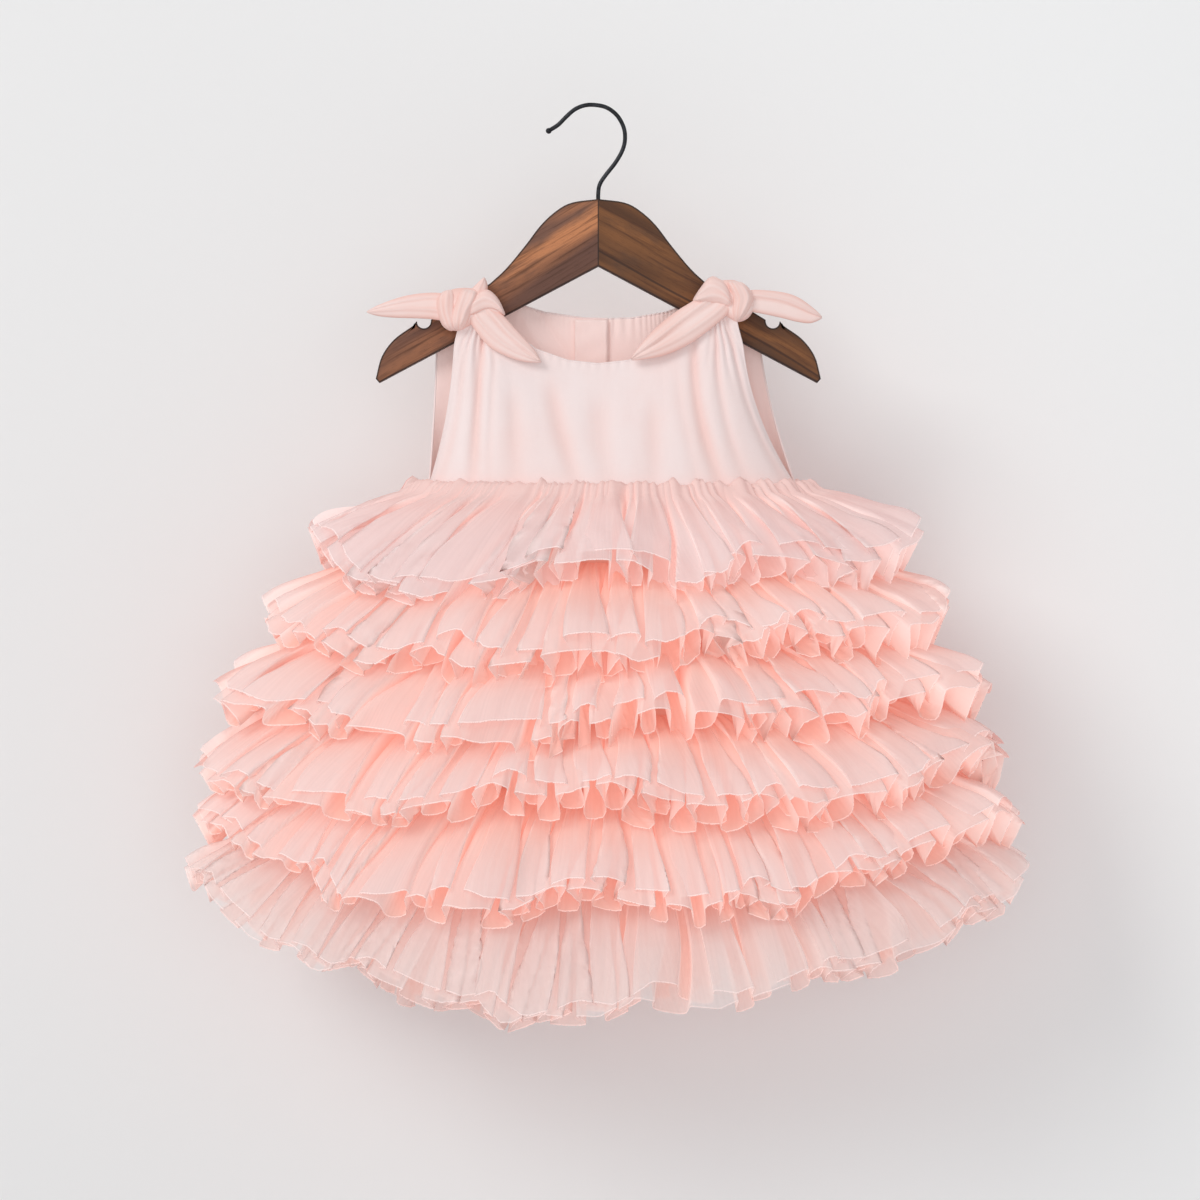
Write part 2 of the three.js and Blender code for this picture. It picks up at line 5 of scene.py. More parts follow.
import bmesh
import bpy
import numpy as np
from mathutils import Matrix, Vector


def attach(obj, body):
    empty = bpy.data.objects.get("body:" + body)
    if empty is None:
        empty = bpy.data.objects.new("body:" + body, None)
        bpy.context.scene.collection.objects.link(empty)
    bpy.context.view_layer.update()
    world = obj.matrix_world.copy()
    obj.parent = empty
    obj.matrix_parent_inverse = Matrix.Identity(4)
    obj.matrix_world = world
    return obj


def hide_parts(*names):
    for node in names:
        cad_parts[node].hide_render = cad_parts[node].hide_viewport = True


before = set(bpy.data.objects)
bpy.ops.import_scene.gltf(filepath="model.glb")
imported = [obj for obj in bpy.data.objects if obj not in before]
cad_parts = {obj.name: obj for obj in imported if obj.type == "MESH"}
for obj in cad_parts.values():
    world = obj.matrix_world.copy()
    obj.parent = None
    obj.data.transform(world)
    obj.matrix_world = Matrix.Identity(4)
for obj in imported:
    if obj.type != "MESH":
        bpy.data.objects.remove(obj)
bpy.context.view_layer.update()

MM = 0.001
TINY = 1e-9

FRONT = -1
BACK = 1
LEFT = -1
RIGHT = 1
HANDS = ((LEFT, "left"), (RIGHT, "right"))

# The photograph: millimetres to a pixel, and the pixel of the point that bears on the rail
PHOTO_SCALE = 0.7
PHOTO_ORIGIN = (592, 107)
PHOTO_CENTRE = (600, 600)
PHOTO_WIDTH = 1200
CAMERA_DISTANCE = 4.0
SENSOR = 36.0

MIDDLE_X = 4.4  # the hanger's middle line
CLOSING_X = 7.5  # the back's closing line, from the hanger's middle


def named_rows(columns, rows):
    """A table as a list of dicts, one for each row."""
    return [dict(zip(columns, row)) for row in rows]


SECTION = ("z", "half_width", "front", "back", "lift", "shift")
# Skirt sections from the waist to the hem of the lining, from the hanger's middle
BASE_SECTIONS = named_rows(SECTION, [
    (-266.8, 128.5, 33, 27, 0, 10),
    (-320, 150, 38, 31, 5, 6.5),
    (-373, 170, 43, 34, 11, 4.5),
    (-426, 187, 47, 37, 18, 4.5),
    (-478, 201, 50, 39, 26, 4.5),
    (-534, 213, 52, 41, 36, 4.5),
    (-585, 222, 53, 42, 44, 4.5),
])
# The hems of the six tiers
TIER_HEMS = named_rows(SECTION, [
    (-338, 217, 78, 64, 26, 4.5),
    (-386, 238, 84, 69, 19, 4.5),
    (-437, 261, 88, 72, 24, 4.5),
    (-486, 276, 91, 74, 20, 4.5),
    (-557, 284, 90, 73, 52, 4.5),
    (-627, 289, 80, 66, 90, 4.5),
])
# The pleats of each tier, all round: how many, how deep, how far the hem rises over each fold, how far it
# leans, how long its two layers are, as shares of the solid's fall, and how much longer they are at the left
TIER_PLEATS = named_rows(("count", "depth", "open", "lean", "outer", "inner", "left", "seed"), [
    (30, 12.0, 6.5, 9, 0.92, 0.98, 0.10, 11),
    (34, 12.0, 6.5, 10, 0.92, 1.00, 0.12, 23),
    (37, 12.0, 6.5, 10, 0.92, 1.01, 0.10, 37),
    (41, 11.5, 6.0, 9, 0.95, 1.02, 0.08, 41),
    (48, 10.5, 5.0, 6, 0.96, 1.02, 0.05, 59),
    (46, 8.5, 3.0, 5, 0.97, 1.02, 0.0, 67),
])
LAYERS = ("outer", "inner")
COLUMNS_PER_PLEAT = 16
TIER_ROWS = 26
SEAM_MERGE = 0.00002
LAYER_GAP = 3.0  # between the two layers of a tier
LONG_AT = 0.11  # where the tiers hang longest, as a turn from the left side
LONG_WIDTH = 0.08
LINING_GRID = (160, 39)
LINING_WAVES = 22
LINING_DEPTH = 2.2  # of each wave at the hem

# How thick the cloth is, in metres
LINING_WALL = 0.0008
BODICE_WALL = 0.0011
STRAP_WALL = 0.0012
PLACKET_WALL = 0.001

# Pink, as linear colours
SALMON = (0.76, 0.42, 0.33)
ROSE = (0.73, 0.56, 0.51)
BLUSH = (0.72, 0.68, 0.665)
# Painted highlight on the pleats' flanks and along the cut edge
PAINTED_HIGHLIGHT = (0.83, 0.75, 0.735)
INNER_HEM = (0.75, 0.65, 0.62)
# Painted glow on the tulle: emission that stands in for light scattered through its layers, on its faces, in
# its valleys and at its turned edges
FACE_PAINTED_GLOW = (0.38, 0.09, 0.065)
FOLD_PAINTED_GLOW = (0.52, 0.16, 0.12)
EDGE_PAINTED_GLOW = (0.62, 0.385, 0.345)
PAINTED_GLOW_STRENGTH = 0.48
LIGHT_THROUGH = 0.55  # how much less shadow tulle casts than its cover would
# Painted glow on the cotton, which lifts its shade
COTTON_PAINTED_GLOW = (1.0, 0.70, 0.62)
COTTON = (0.855, 0.745, 0.735)
COTTON_SHADE = (0.84, 0.59, 0.55)
# The ties' cotton: a pinker copy of the bodice's, as painted shade
SHADED_TIE_COTTON = (0.87, 0.69, 0.655)
TIE_SHADE = (0.82, 0.50, 0.44)
# The back's cotton: a pinker copy of the bodice's, as painted shade on its shaded inside
SHADED_BACK_COTTON = (0.88, 0.72, 0.695)
LINING_SHADE = (0.96, 0.44, 0.32)
PEARL = ((0.80, 0.76, 0.74), (0.93, 0.91, 0.89))
WEAVE_PITCH = 0.00045

# Deep, middle and hem colours of the first tier, the middle tiers, the last, and the middle's inner layers;
# the deep colour is also painted shade in the valleys and towards the seam
TULLE_COLOURS = {
    "first": ((0.70, 0.56, 0.53), (0.69, 0.62, 0.61), (0.69, 0.67, 0.67)),
    "middle": (SALMON, ROSE, BLUSH),
    "last": ((0.68, 0.46, 0.40), (0.66, 0.61, 0.59), (0.66, 0.69, 0.68)),
    "inner": (SALMON, ROSE, INNER_HEM),
}
# How much each layer covers what is under it, above and at its hem
TULLE_COVER = {"first": (0.80, 0.62), "middle": (0.84, 0.68), "last": (0.68, 0.48), "inner": (1.0, 0.68)}

# Wood and wire, as linear colours: the lighter arm's and the darker arm's wood, each dark and pale, and the
# clouds on each arm, and then what is laid over them
LEFT_WOOD = ((0.185, 0.088, 0.060), (0.56, 0.225, 0.098))
RIGHT_WOOD = ((0.095, 0.038, 0.016), (0.25, 0.098, 0.033))
CLOUDS = ((0.11, 0.065, 0.055), (0.085, 0.042, 0.026))
BAND = (0.10, 0.042, 0.03)
STRIPE = (0.03, 0.014, 0.01)
STREAK = (0.07, 0.028, 0.016)
PORE = (0.03, 0.013, 0.009)
RIM_DARK = (0.022, 0.013, 0.011)
WIRE_COLOURS = ((0.012, 0.013, 0.016), (0.035, 0.038, 0.045))
BAND_ENDS = (-0.068, -0.074)  # across the grain, in metres
STRIPE_AT = -0.0835
# The wood's noises: detail, roughness, and scale along and across the grain
GRAIN_NOISE = {
    "broad": (2.0, 0.5, (7, 60, 1)),
    "cloud": (3.0, 0.6, (26, 90, 1)),
    "streaks": (4.0, 0.6, (16, 420, 1)),
    "pores": (2.0, 0.7, (150, 2400, 1)),
}


def photo_point(px, py):
    """A pixel of the photograph as x and z, in millimetres."""
    return (px - PHOTO_ORIGIN[0]) * PHOTO_SCALE, -(py - PHOTO_ORIGIN[1]) * PHOTO_SCALE


def mix(a, b, share):
    return a + (b - a) * share


def smooth(low, high, value):
    """0 below low, 1 above high, and a soft step between."""
    t = np.clip((value - low) / (high - low), 0, 1)
    return t * t * (3 - 2 * t)


def unit(vectors):
    return vectors / np.maximum(np.linalg.norm(vectors, axis=-1, keepdims=True), TINY)


def step_lengths(points):
    """Distances from each point to the next one along the first axis."""
    return np.linalg.norm(np.diff(points, axis=0), axis=-1)


def curve_points(points, per_span):
    """A smooth line through points, by a cardinal spline."""
    array = np.array(points, dtype=float)
    padded = np.vstack([2 * array[0] - array[1], array, 2 * array[-1] - array[-2]])
    out = []
    for a, b, c, d in zip(padded, padded[1:], padded[2:], padded[3:]):
        for step in range(per_span):
            t = step / per_span
            bend, twist = 2 * a - 5 * b + 4 * c - d, 3 * b - a - 3 * c + d
            out.append(0.5 * (2 * b + (c - a) * t + bend * t**2 + twist * t**3))
    out.append(array[-1])
    return np.array(out)


# Ovals of the skirt

def oval_half(section, side, angle):
    """Points of half a section, from one side seam to the other as angle goes from -90 to 90 degrees."""
    sine = np.sin(angle)
    across = np.sign(sine) * np.abs(sine) ** 0.9
    depth = section["front"] if side == FRONT else section["back"]
    x = section["shift"] - side * section["half_width"] * across
    y = side * depth * np.abs(np.cos(angle)) ** 0.8
    z = section["z"] + section["lift"] * np.abs(across) ** 2.4
    return np.stack([x, y, z], axis=-1)


def oval_line(section, side, shares):
    """Points of half a section at shares of its length."""
    points = oval_half(section, side, np.linspace(-math.pi / 2, math.pi / 2, 400))
    steps = step_lengths(points)
    along = np.concatenate([[0], np.cumsum(steps)]) / steps.sum()
    return np.stack([np.interp(shares, along, points[:, k]) for k in range(3)], axis=-1)


def oval_loop(section, turns):
    """Points all round a section: turns 0 to 0.5 are the front from left to right, 0.5 to 1 the back."""
    turns = np.mod(turns, 1.0)
    front = oval_line(section, FRONT, np.clip(turns * 2, 0, 1))
    back = oval_line(section, BACK, np.clip(turns * 2 - 1, 0, 1))
    return np.where((turns < 0.5)[..., None], front, back)


def surface_normals(points):
    """Outward unit normals of a (rows, columns, 3) array whose rows go down and columns run round."""
    return unit(np.cross(np.gradient(points, axis=0), np.gradient(points, axis=1)))


# Pieces

def collect(name, mesh, nodes=()):
    """Links a mesh as a piece that rides on the part, and hides the nodes it stands for."""
    piece = bpy.data.objects.new(name, mesh)
    bpy.context.scene.collection.objects.link(piece)
    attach(piece, "root")
    if nodes:
        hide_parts(*nodes)
    return piece


def grid_mesh(name, columns, rows, place, size=(1.0, 1.0), turned=False, closed=False):
    """A mesh grid put in place by a function of arrays u and v, 0 to 1, that gives points in millimetres and
    a dict of named values for each point. UV is u and v times size. A turned grid shows its other face, and
    a closed one is a whole skin."""
    bm = bmesh.new()
    bmesh.ops.create_grid(bm, x_segments=columns, y_segments=rows, size=0.5)
    mesh = bpy.data.meshes.new(name)
    bm.to_mesh(mesh)
    bm.free()
    flat = np.empty(len(mesh.vertices) * 3)
    mesh.vertices.foreach_get("co", flat)
    u, v = (flat.reshape(-1, 3)[:, :2] + 0.5).T
    points, values = place(u, v)
    mesh.vertices.foreach_set("co", (points * MM).ravel())
    corner = np.empty(len(mesh.loops), dtype=np.int32)
    mesh.loops.foreach_get("vertex_index", corner)
    layer = mesh.uv_layers.new(name="cloth")
    layer.data.foreach_set("uv", np.stack([u[corner] * size[0], v[corner] * size[1]], axis=-1).ravel())
    for key, value in values.items():
        mesh.attributes.new(key, "FLOAT", "POINT").data.foreach_set("value", value)
    close_up(mesh, closed)
    if turned:
        mesh.flip_normals()
    mesh.shade_smooth()
    mesh.update()
    return mesh


def close_up(mesh, closed):
    """Joins edges of a grid that meet, and points the faces of a closed skin outwards."""
    bm = bmesh.new()
    bm.from_mesh(mesh)
    bmesh.ops.remove_doubles(bm, verts=bm.verts, dist=SEAM_MERGE)
    if closed:
        bmesh.ops.recalc_face_normals(bm, faces=bm.faces)
    bm.to_mesh(mesh)
    bm.free()


def on_grid(table, u, v):
    """Values of a (rows, columns, ...) table at u across and v down."""
    rows, columns = table.shape[:2]
    return table[np.rint(v * (rows - 1)).astype(int), np.rint(u * (columns - 1)).astype(int)]


def grid_piece(name, slot, material, grid, place, size=(1.0, 1.0), nodes=(), turned=False, closed=False):
    """A mesh grid of (columns, rows) in its material, as a piece."""
    mesh = grid_mesh(name, *grid, place, size, turned, closed)
    mesh.materials.append(material)
    return collect(name, mesh, nodes)


def add_thickness(piece, metres):
    """Gives a sheet its wall, half to each side."""
    wall = piece.modifiers.new("thickness", "SOLIDIFY")
    wall.thickness = metres
    wall.offset = 0


# Shader helpers

def new_material(name, roughness, constants=None):
    """A material, its node tree and its Principled shader with its constants."""
    material = bpy.data.materials.new(name)
    material.use_nodes = True
    shader = material.node_tree.nodes["Principled BSDF"]
    for key, value in {"Roughness": roughness, **(constants or {})}.items():
        shader.inputs[key].default_value = value
    return material, material.node_tree, shader


def node(tree, kind, inputs=None, **settings):
    """A node with its settings and its inputs, each a value or another node's output."""
    made = tree.nodes.new(kind)
    for key, value in settings.items():
        setattr(made, key, value)
    for key, value in (inputs or {}).items():
        if isinstance(value, bpy.types.NodeSocket):
            tree.links.new(value, made.inputs[key])
        else:
            made.inputs[key].default_value = value
    return made


def feed(tree, target, outputs):
    """Links outputs into a node's named inputs."""
    for key, output in outputs.items():
        tree.links.new(output, target.inputs[key])


def maths(tree, operation, a, b=0.0, clamp=False):
    return node(tree, "ShaderNodeMath", {0: a, 1: b}, operation=operation, use_clamp=clamp).outputs[0]


def times(tree, a, b):
    return maths(tree, "MULTIPLY", a, b)


def plus(tree, a, b, clamp=False):
    return maths(tree, "ADD", a, b, clamp)


def minus(tree, a, b, clamp=False):
    return maths(tree, "SUBTRACT", a, b, clamp)


def blend(tree, share, a, b):
    """A colour between a and b."""
    colour = [value if isinstance(value, bpy.types.NodeSocket) else (*value, 1) for value in (a, b)]
    made = node(tree, "ShaderNodeMix", {0: share, 6: colour[0], 7: colour[1]}, data_type="RGBA")
    return made.outputs[2]


def between(tree, value, low, high, to_low=0.0, to_high=1.0):
    """value from low to high as a number from to_low to to_high, with a soft step."""
    inputs = {"Value": value, "From Min": low, "From Max": high, "To Min": to_low, "To Max": to_high}
    made = node(tree, "ShaderNodeMapRange", inputs, interpolation_type="SMOOTHSTEP")
    return made.outputs["Result"]


def attribute(tree, name):
    return node(tree, "ShaderNodeAttribute", attribute_name=name).outputs["Fac"]


def object_place(tree):
    return node(tree, "ShaderNodeTexCoord").outputs["Object"]


def map_place(tree, name="cloth"):
    return node(tree, "ShaderNodeUVMap", uv_map=name).outputs[0]


def noise(tree, vector, scale, detail=3.0, roughness=0.5, stretch=None):
    """Soft noise from 0 to 1, stretched by scaling its coordinates."""
    if stretch:
        vector = node(tree, "ShaderNodeMapping", {"Vector": vector, "Scale": stretch}).outputs[0]
    inputs = {"Vector": vector, "Scale": scale, "Detail": detail, "Roughness": roughness}
    return node(tree, "ShaderNodeTexNoise", inputs).outputs["Fac"]


def bump(tree, height, strength, distance, under=None):
    """A normal bent by a height, over the surface's own normal or over another one."""
    inputs = {"Height": height, "Strength": strength, "Distance": distance}
    if under is not None:
        inputs["Normal"] = under
    return node(tree, "ShaderNodeBump", inputs).outputs[0]


def new_group(name, outputs, inputs=()):
    """A node group with float or colour sockets: its tree and its output node."""
    group = bpy.data.node_groups.new(name, "ShaderNodeTree")
    for label, kind in inputs:
        group.interface.new_socket(label, in_out="INPUT", socket_type=kind)
    for label, kind in outputs:
        group.interface.new_socket(label, in_out="OUTPUT", socket_type=kind)
    return group, group.nodes.new("NodeGroupOutput")


# Materials

def weave_group():
    """A plain weave of threads on the cloth's own UV map, in metres."""
    group, out = new_group("plain_weave", [("Height", "NodeSocketFloat")])
    split = node(group, "ShaderNodeSeparateXYZ", {0: map_place(group)})
    turn = math.pi / WEAVE_PITCH
    warp, weft = (maths(group, "SINE", times(group, split.outputs[axis], turn)) for axis in "XY")
    height = maths(group, "MULTIPLY_ADD", times(group, warp, weft), 0.5)
    feed(group, out, {"Height": height})
    return group


def net_colour(group, given, point):
    """Deep at the seam and in valleys, and pale at the hem, on flanks and in streaks. The deep valleys are
    painted shade, the deeper seam is partly painted shade, and the pale flanks and cut edge are a painted
    highlight.
    """
    # Deeper towards the seam: partly the gathered net, partly painted shade under the tier above
    body = blend(group, between(group, point["down"], 0.1, 0.7), given["Deep"], given["Middle"])
    body = blend(group, point["lower"], body, given["Pale"])
    # Painted shade: the deep colour in the pleats' valleys
    body = blend(group, times(group, point["valley"], 0.7), body, given["Deep"])
    body = blend(group, between(group, point["streaks"], 0.4, 0.8, 0.0, 0.12), body, given["Pale"])
    # Painted highlight on the flanks and along the cut edge
    light = maths(group, "MAXIMUM", times(group, point["flank"], 0.3), times(group, point["edge"], 0.8))
    return blend(group, light, body, PAINTED_HIGHLIGHT)


def painted_net_glow(group, point):
    """Painted glow: emission that stands in for the light folds scatter among their layers, stronger in
    valleys and where they turn away.
    """
    painted_glow = blend(group, point["valley"], FACE_PAINTED_GLOW, FOLD_PAINTED_GLOW)
    turned = maths(group, "POWER", point["flank"], 2.0)
    turned = maths(group, "MAXIMUM", turned, times(group, point["edge"], 0.4))
    return blend(group, turned, painted_glow, EDGE_PAINTED_GLOW)


def net_cover(group, given, point):
    """More on flanks, near the seam and at the cut edge, which is frayed."""
    ends = {"From Min": 0.0, "From Max": 1.0, "To Min": given["Cover"], "To Max": given["Hem Cover"]}
    cover = node(group, "ShaderNodeMapRange", {"Value": point["lower"], **ends}).outputs["Result"]
    cover = plus(group, cover, times(group, point["flank"], 0.3))
    cover = plus(group, cover, times(group, point["edge"], 0.35))
    cover = plus(group, cover, between(group, point["down"], 0.45, 0.1, 0.0, 0.4))
    cover = plus(group, cover, between(group, point["streaks"], 0.25, 0.75, -0.03, 0.03))
    frayed = minus(group, between(group, point["threads"], 0.35, 0.75, 0.0, 0.9), point["to_hem"])
    return minus(group, cover, between(group, frayed, -0.2, 0.6), clamp=True)


def net_group():
    """Fine tulle: colour with painted shade and painted highlights, alpha, height and painted glow, from how
    far down the ruffle a point is, whether it is on a pleat's flank, how deep it lies, and how near the cut
    edge is."""
    colour, number = "NodeSocketColor", "NodeSocketFloat"
    inputs = [(name, colour) for name in ("Deep", "Middle", "Pale")]
    inputs += [(name, number) for name in ("Cover", "Hem Cover")]
    outputs = [("Color", colour), ("Alpha", number), ("Height", number), ("Painted Glow", colour)]
    group, out = new_group("tulle_net", outputs, inputs)
    given = group.nodes.new("NodeGroupInput").outputs
    point = {name: attribute(group, name) for name in ("down", "flank", "valley", "to_hem")}
    cloth = map_place(group)
    point["streaks"] = noise(group, cloth, 1.0, 2.0, 0.5, (220, 9, 1))
    point["threads"] = noise(group, cloth, 1.0, 1.0, 0.6, (700, 500, 1))
    point["lower"] = between(group, point["down"], 0.5, 1.0)
    edge = between(group, point["to_hem"], 1.5, 0.4)
    point["edge"] = times(group, edge, between(group, point["threads"], 0.3, 0.6, 0.6, 1.0))
    feed(group, out, {
        "Color": net_colour(group, given, point),
        "Alpha": net_cover(group, given, point),
        "Height": point["streaks"],
        "Painted Glow": painted_net_glow(group, point),
    })
    return group


def tulle_look(level, layer):
    """The colours and the cover of one layer of a tier."""
    kind = {0: "first", len(TIER_HEMS) - 1: "last"}.get(level, "middle")
    under = layer == "inner" and kind != "last"
    colours = TULLE_COLOURS["inner" if under and kind == "middle" else kind]
    return colours, TULLE_COVER["inner" if under else kind]


def tulle_material(name, net, colours, cover):
    constants = {
        "Specular IOR Level": 0.15,
        "Sheen Weight": 0.08,
        "Sheen Roughness": 0.6,
        "Sheen Tint": (1.0, 0.9, 0.87, 1),
        "Emission Strength": PAINTED_GLOW_STRENGTH,
    }
    material, tree, shader = new_material(name, 0.85, constants)
    given = {key: (*colour, 1) for key, colour in zip(("Deep", "Middle", "Pale"), colours)}
    given.update(zip(("Cover", "Hem Cover"), cover))
    look = node(tree, "ShaderNodeGroup", given, node_tree=net).outputs
    # Light shines through net, so its shadow is paler than its cover
    shadow = times(tree, node(tree, "ShaderNodeLightPath").outputs["Is Shadow Ray"], LIGHT_THROUGH)
    feed(tree, shader, {
        "Base Color": look["Color"],
        "Alpha": minus(tree, look["Alpha"], shadow, clamp=True),
        "Emission Color": look["Painted Glow"],
        "Normal": bump(tree, look["Height"], 0.06, 0.0012),
    })
    return material


def cotton_material(name, weave, colour, shade, sheen=0.3, painted_glow=0.06):
    """Smooth woven cotton: a fine weave, faint slubs and soft small creases, with painted shade in its folds
    and a faint painted glow.
    """
    constants = {
        "Specular IOR Level": 0.3,
        "Sheen Weight": sheen,
        "Sheen Roughness": 0.4,
        "Emission Color": (*COTTON_PAINTED_GLOW, 1),
        "Emission Strength": painted_glow,
    }
    material, tree, shader = new_material(name, 0.62, constants)
    place = object_place(tree)
    patches = noise(tree, place, 26.0, 3.0, 0.5, (1, 1, 0.45))
    slubs = noise(tree, map_place(tree), 1.0, 2.0, 0.6, (90, 1400, 1))
    tone = times(tree, between(tree, patches, 0.3, 0.75), 0.3)
    # Painted shade in the folds, from the crease attribute
    tone = plus(tree, tone, times(tree, attribute(tree, "crease"), 0.9))
    tone = plus(tree, tone, between(tree, slubs, 0.5, 0.8, 0.0, 0.12), clamp=True)
    thread = node(tree, "ShaderNodeGroup", node_tree=weave).outputs["Height"]
    creases = noise(tree, place, 42.0, 4.0, 0.55, (1.0, 1.0, 0.35))
    woven = bump(tree, thread, 0.35, 0.00012)
    feed(tree, shader, {
        "Base Color": blend(tree, tone, colour, shade),
        "Roughness": between(tree, thread, 0.0, 1.0, 0.56, 0.68),
        "Normal": bump(tree, creases, 0.3, 0.0022, woven),
    })
    return material


def grain_line(tree):
    """A place along and across the grain, which wanders a little."""
    grain = map_place(tree, "grain")
    wander = node(tree, "ShaderNodeTexNoise", {"Vector": grain, "Scale": 11.0, "Detail": 1.0})
    bend = {0: wander.outputs["Color"], 1: (0.004, 0.007, 0.0)}
    bent = node(tree, "ShaderNodeVectorMath", bend, operation="MULTIPLY")
    return node(tree, "ShaderNodeVectorMath", {0: grain, 1: bent.outputs[0]}, operation="ADD").outputs[0]


def dark_rims_and_joint(tree):
    """1 on the rims and on the glue line where the arms meet, and 0 on the faces."""
    place = node(tree, "ShaderNodeSeparateXYZ", {0: object_place(tree)})
    joint = maths(tree, "ABSOLUTE", minus(tree, place.outputs["X"], MIDDLE_X * MM))
    joint = between(tree, joint, 0.0007, 0.0002)
    return maths(tree, "MAXIMUM", between(tree, attribute(tree, "edge"), 0.25, 0.95), joint)


def wood_material():
    """Stained hardwood with its grain along each arm: a dark band under the left arm's middle, a dark line
    along the right arm, darker rims and a glue line where the arms meet."""
    material, tree, shader = new_material("stained_wood", 0.5, {"Specular IOR Level": 0.25})
    line = grain_line(tree)
    grain = {name: noise(tree, line, 1.0, *look) for name, look in GRAIN_NOISE.items()}
    split = node(tree, "ShaderNodeSeparateXYZ", {0: line}).outputs
    right_arm = maths(tree, "GREATER_THAN", split["X"], ARM_STEP / 2)
    tone = between(tree, grain["broad"], 0.36, 0.66)
    wood = blend(tree, right_arm, blend(tree, tone, *LEFT_WOOD), blend(tree, tone, *RIGHT_WOOD))
    clouded = blend(tree, right_arm, *CLOUDS)
    wood = blend(tree, between(tree, grain["cloud"], 0.5, 0.75, 0.0, 0.6), wood, clouded)
    band = times(tree, between(tree, split["Y"], *BAND_ENDS), minus(tree, 1.0, right_arm))
    wood = blend(tree, times(tree, band, 0.55), wood, BAND)
    stripe = maths(tree, "ABSOLUTE", minus(tree, split["Y"], STRIPE_AT))
    stripe = times(tree, between(tree, stripe, 0.0012, 0.0002), right_arm)
    wood = blend(tree, times(tree, stripe, 0.75), wood, STRIPE)
    wood = blend(tree, between(tree, grain["streaks"], 0.46, 0.70, 0.0, 0.75), wood, STREAK)
    wood = blend(tree, between(tree, grain["pores"], 0.54, 0.75, 0.0, 0.5), wood, PORE)
    feed(tree, shader, {
        "Base Color": blend(tree, times(tree, dark_rims_and_joint(tree), 0.85), wood, RIM_DARK),
        "Roughness": between(tree, grain["streaks"], 0.3, 0.7, 0.44, 0.6),
        "Normal": bump(tree, grain["pores"], 0.2, 0.0003),
    })
    return material


def wire_material():
    """Black lacquered wire."""
    material, tree, shader = new_material("black_wire", 0.32, {"Metallic": 0.6})
    worn = noise(tree, object_place(tree), 320.0, 3.0)
    feed(tree, shader, {
        "Base Color": blend(tree, between(tree, worn, 0.4, 0.8), *WIRE_COLOURS),
        "Roughness": between(tree, worn, 0.3, 0.8, 0.26, 0.44),
    })
    return material


def pearl_material():
    material, tree, shader = new_material("pearl_button", 0.28, {"Coat Weight": 0.4})
    cloud = noise(tree, object_place(tree), 160.0, 2.0)
    feed(tree, shader, {
        "Base Color": blend(tree, between(tree, cloud, 0.3, 0.7), *PEARL),
        "Roughness": between(tree, cloud, 0.3, 0.7, 0.22, 0.36),
    })
    return material


# Tulle tiers

def ripples(turn, down, around, fall, rng, count=5):
    """Soft uneven ripples from about -1 to 1 that close up round the skirt."""
    total = np.zeros_like(turn)
    for _ in range(count):
        waves = rng.integers(max(1, around // 2), around + 1)
        total += np.sin(2 * math.pi * (waves * turn + rng.uniform(-fall, fall) * down + rng.uniform(0, 1)))
    return total / math.sqrt(count)


def pleat_table(count, rng):
    """Uneven pleats round a tier: where each starts, and how it is folded, as arrays."""
    widths = rng.uniform(0.6, 1.8, count)
    return {
        "starts": np.concatenate([[0], np.cumsum(widths)]) / widths.sum(),
        "depth": rng.uniform(0.6, 1.05, count) * np.sqrt(widths),
        "skew": rng.uniform(-0.5, 0.5, count),
        "overlap": rng.uniform(0.06, 0.32, count),
        "length": rng.uniform(-1.0, 1.0, count),
        "open": rng.uniform(0.5, 1.6, count),
        "flat": rng.uniform(0.8, 2.4, count),
        "lean": rng.uniform(-1.0, 1.0, count),
    }


def pleat_value(pleats, key, turn):
    """A pleat's value at a turn, blended softly into its neighbours'."""
    starts = pleats["starts"]
    centres = (starts[:-1] + starts[1:]) / 2
    values = pleats[key]
    around = np.concatenate([centres[-1:] - 1, centres, centres[:1] + 1])
    return np.interp(turn, around, np.concatenate([values[-1:], values, values[:1]]))


def drop_share(reach):
    """How much of a tier's drop it has made at a share of its reach."""
    return np.power(np.clip(reach, 0, 2), 1.47)


def grown(section, out, rise):
    """A section moved outwards and up."""
    wider = {key: section[key] + out for key in ("half_width", "front", "back")}
    return {**section, **wider, "z": section["z"] + rise}


def turning(points):
    """How sharply each point's row turns back on itself, 0 to 1, and a little of it beside each turn."""
    ring = points[:, :-1]
    before, after = np.roll(ring, 1, axis=1), np.roll(ring, -1, axis=1)
    path = np.linalg.norm(after - ring, axis=-1) + np.linalg.norm(ring - before, axis=-1)
    turn = 1 - np.linalg.norm(after - before, axis=-1) / np.maximum(path, 1e-9)
    turn = np.maximum(turn, 0.35 * np.maximum(np.roll(turn, 1, axis=1), np.roll(turn, -1, axis=1)))
    return np.concatenate([turn, turn[:, :1]], axis=1)


def plain_tier(level, turn, reach):
    """The fall of a tier without its pleats, from its seam towards its hem."""
    out, lift = (1.0, -1.0) if level == 0 else (2.0, 0.0)
    seam = oval_loop(grown(BASE_SECTIONS[level], out, lift), turn)
    hem = oval_loop(TIER_HEMS[level], turn)
    plain = mix(seam, hem, np.minimum(reach, 1.12)[..., None])
    plain[..., 2] = mix(seam[..., 2], hem[..., 2], drop_share(reach))
    return plain


def roll_top(points, normals, turn, down, rng):
    """Rolls the top of the first tier over its seam, in place."""
    roll = np.sin(math.pi * smooth(0.0, 0.24, down))
    rise = 4.0 + 1.6 * ripples(turn, down, 44, 0.5, rng) + 0.5 * ripples(turn, down, 90, 1.0, rng)
    points[..., 2] += rise * roll
    points += normals * (2.6 * roll)[..., None]


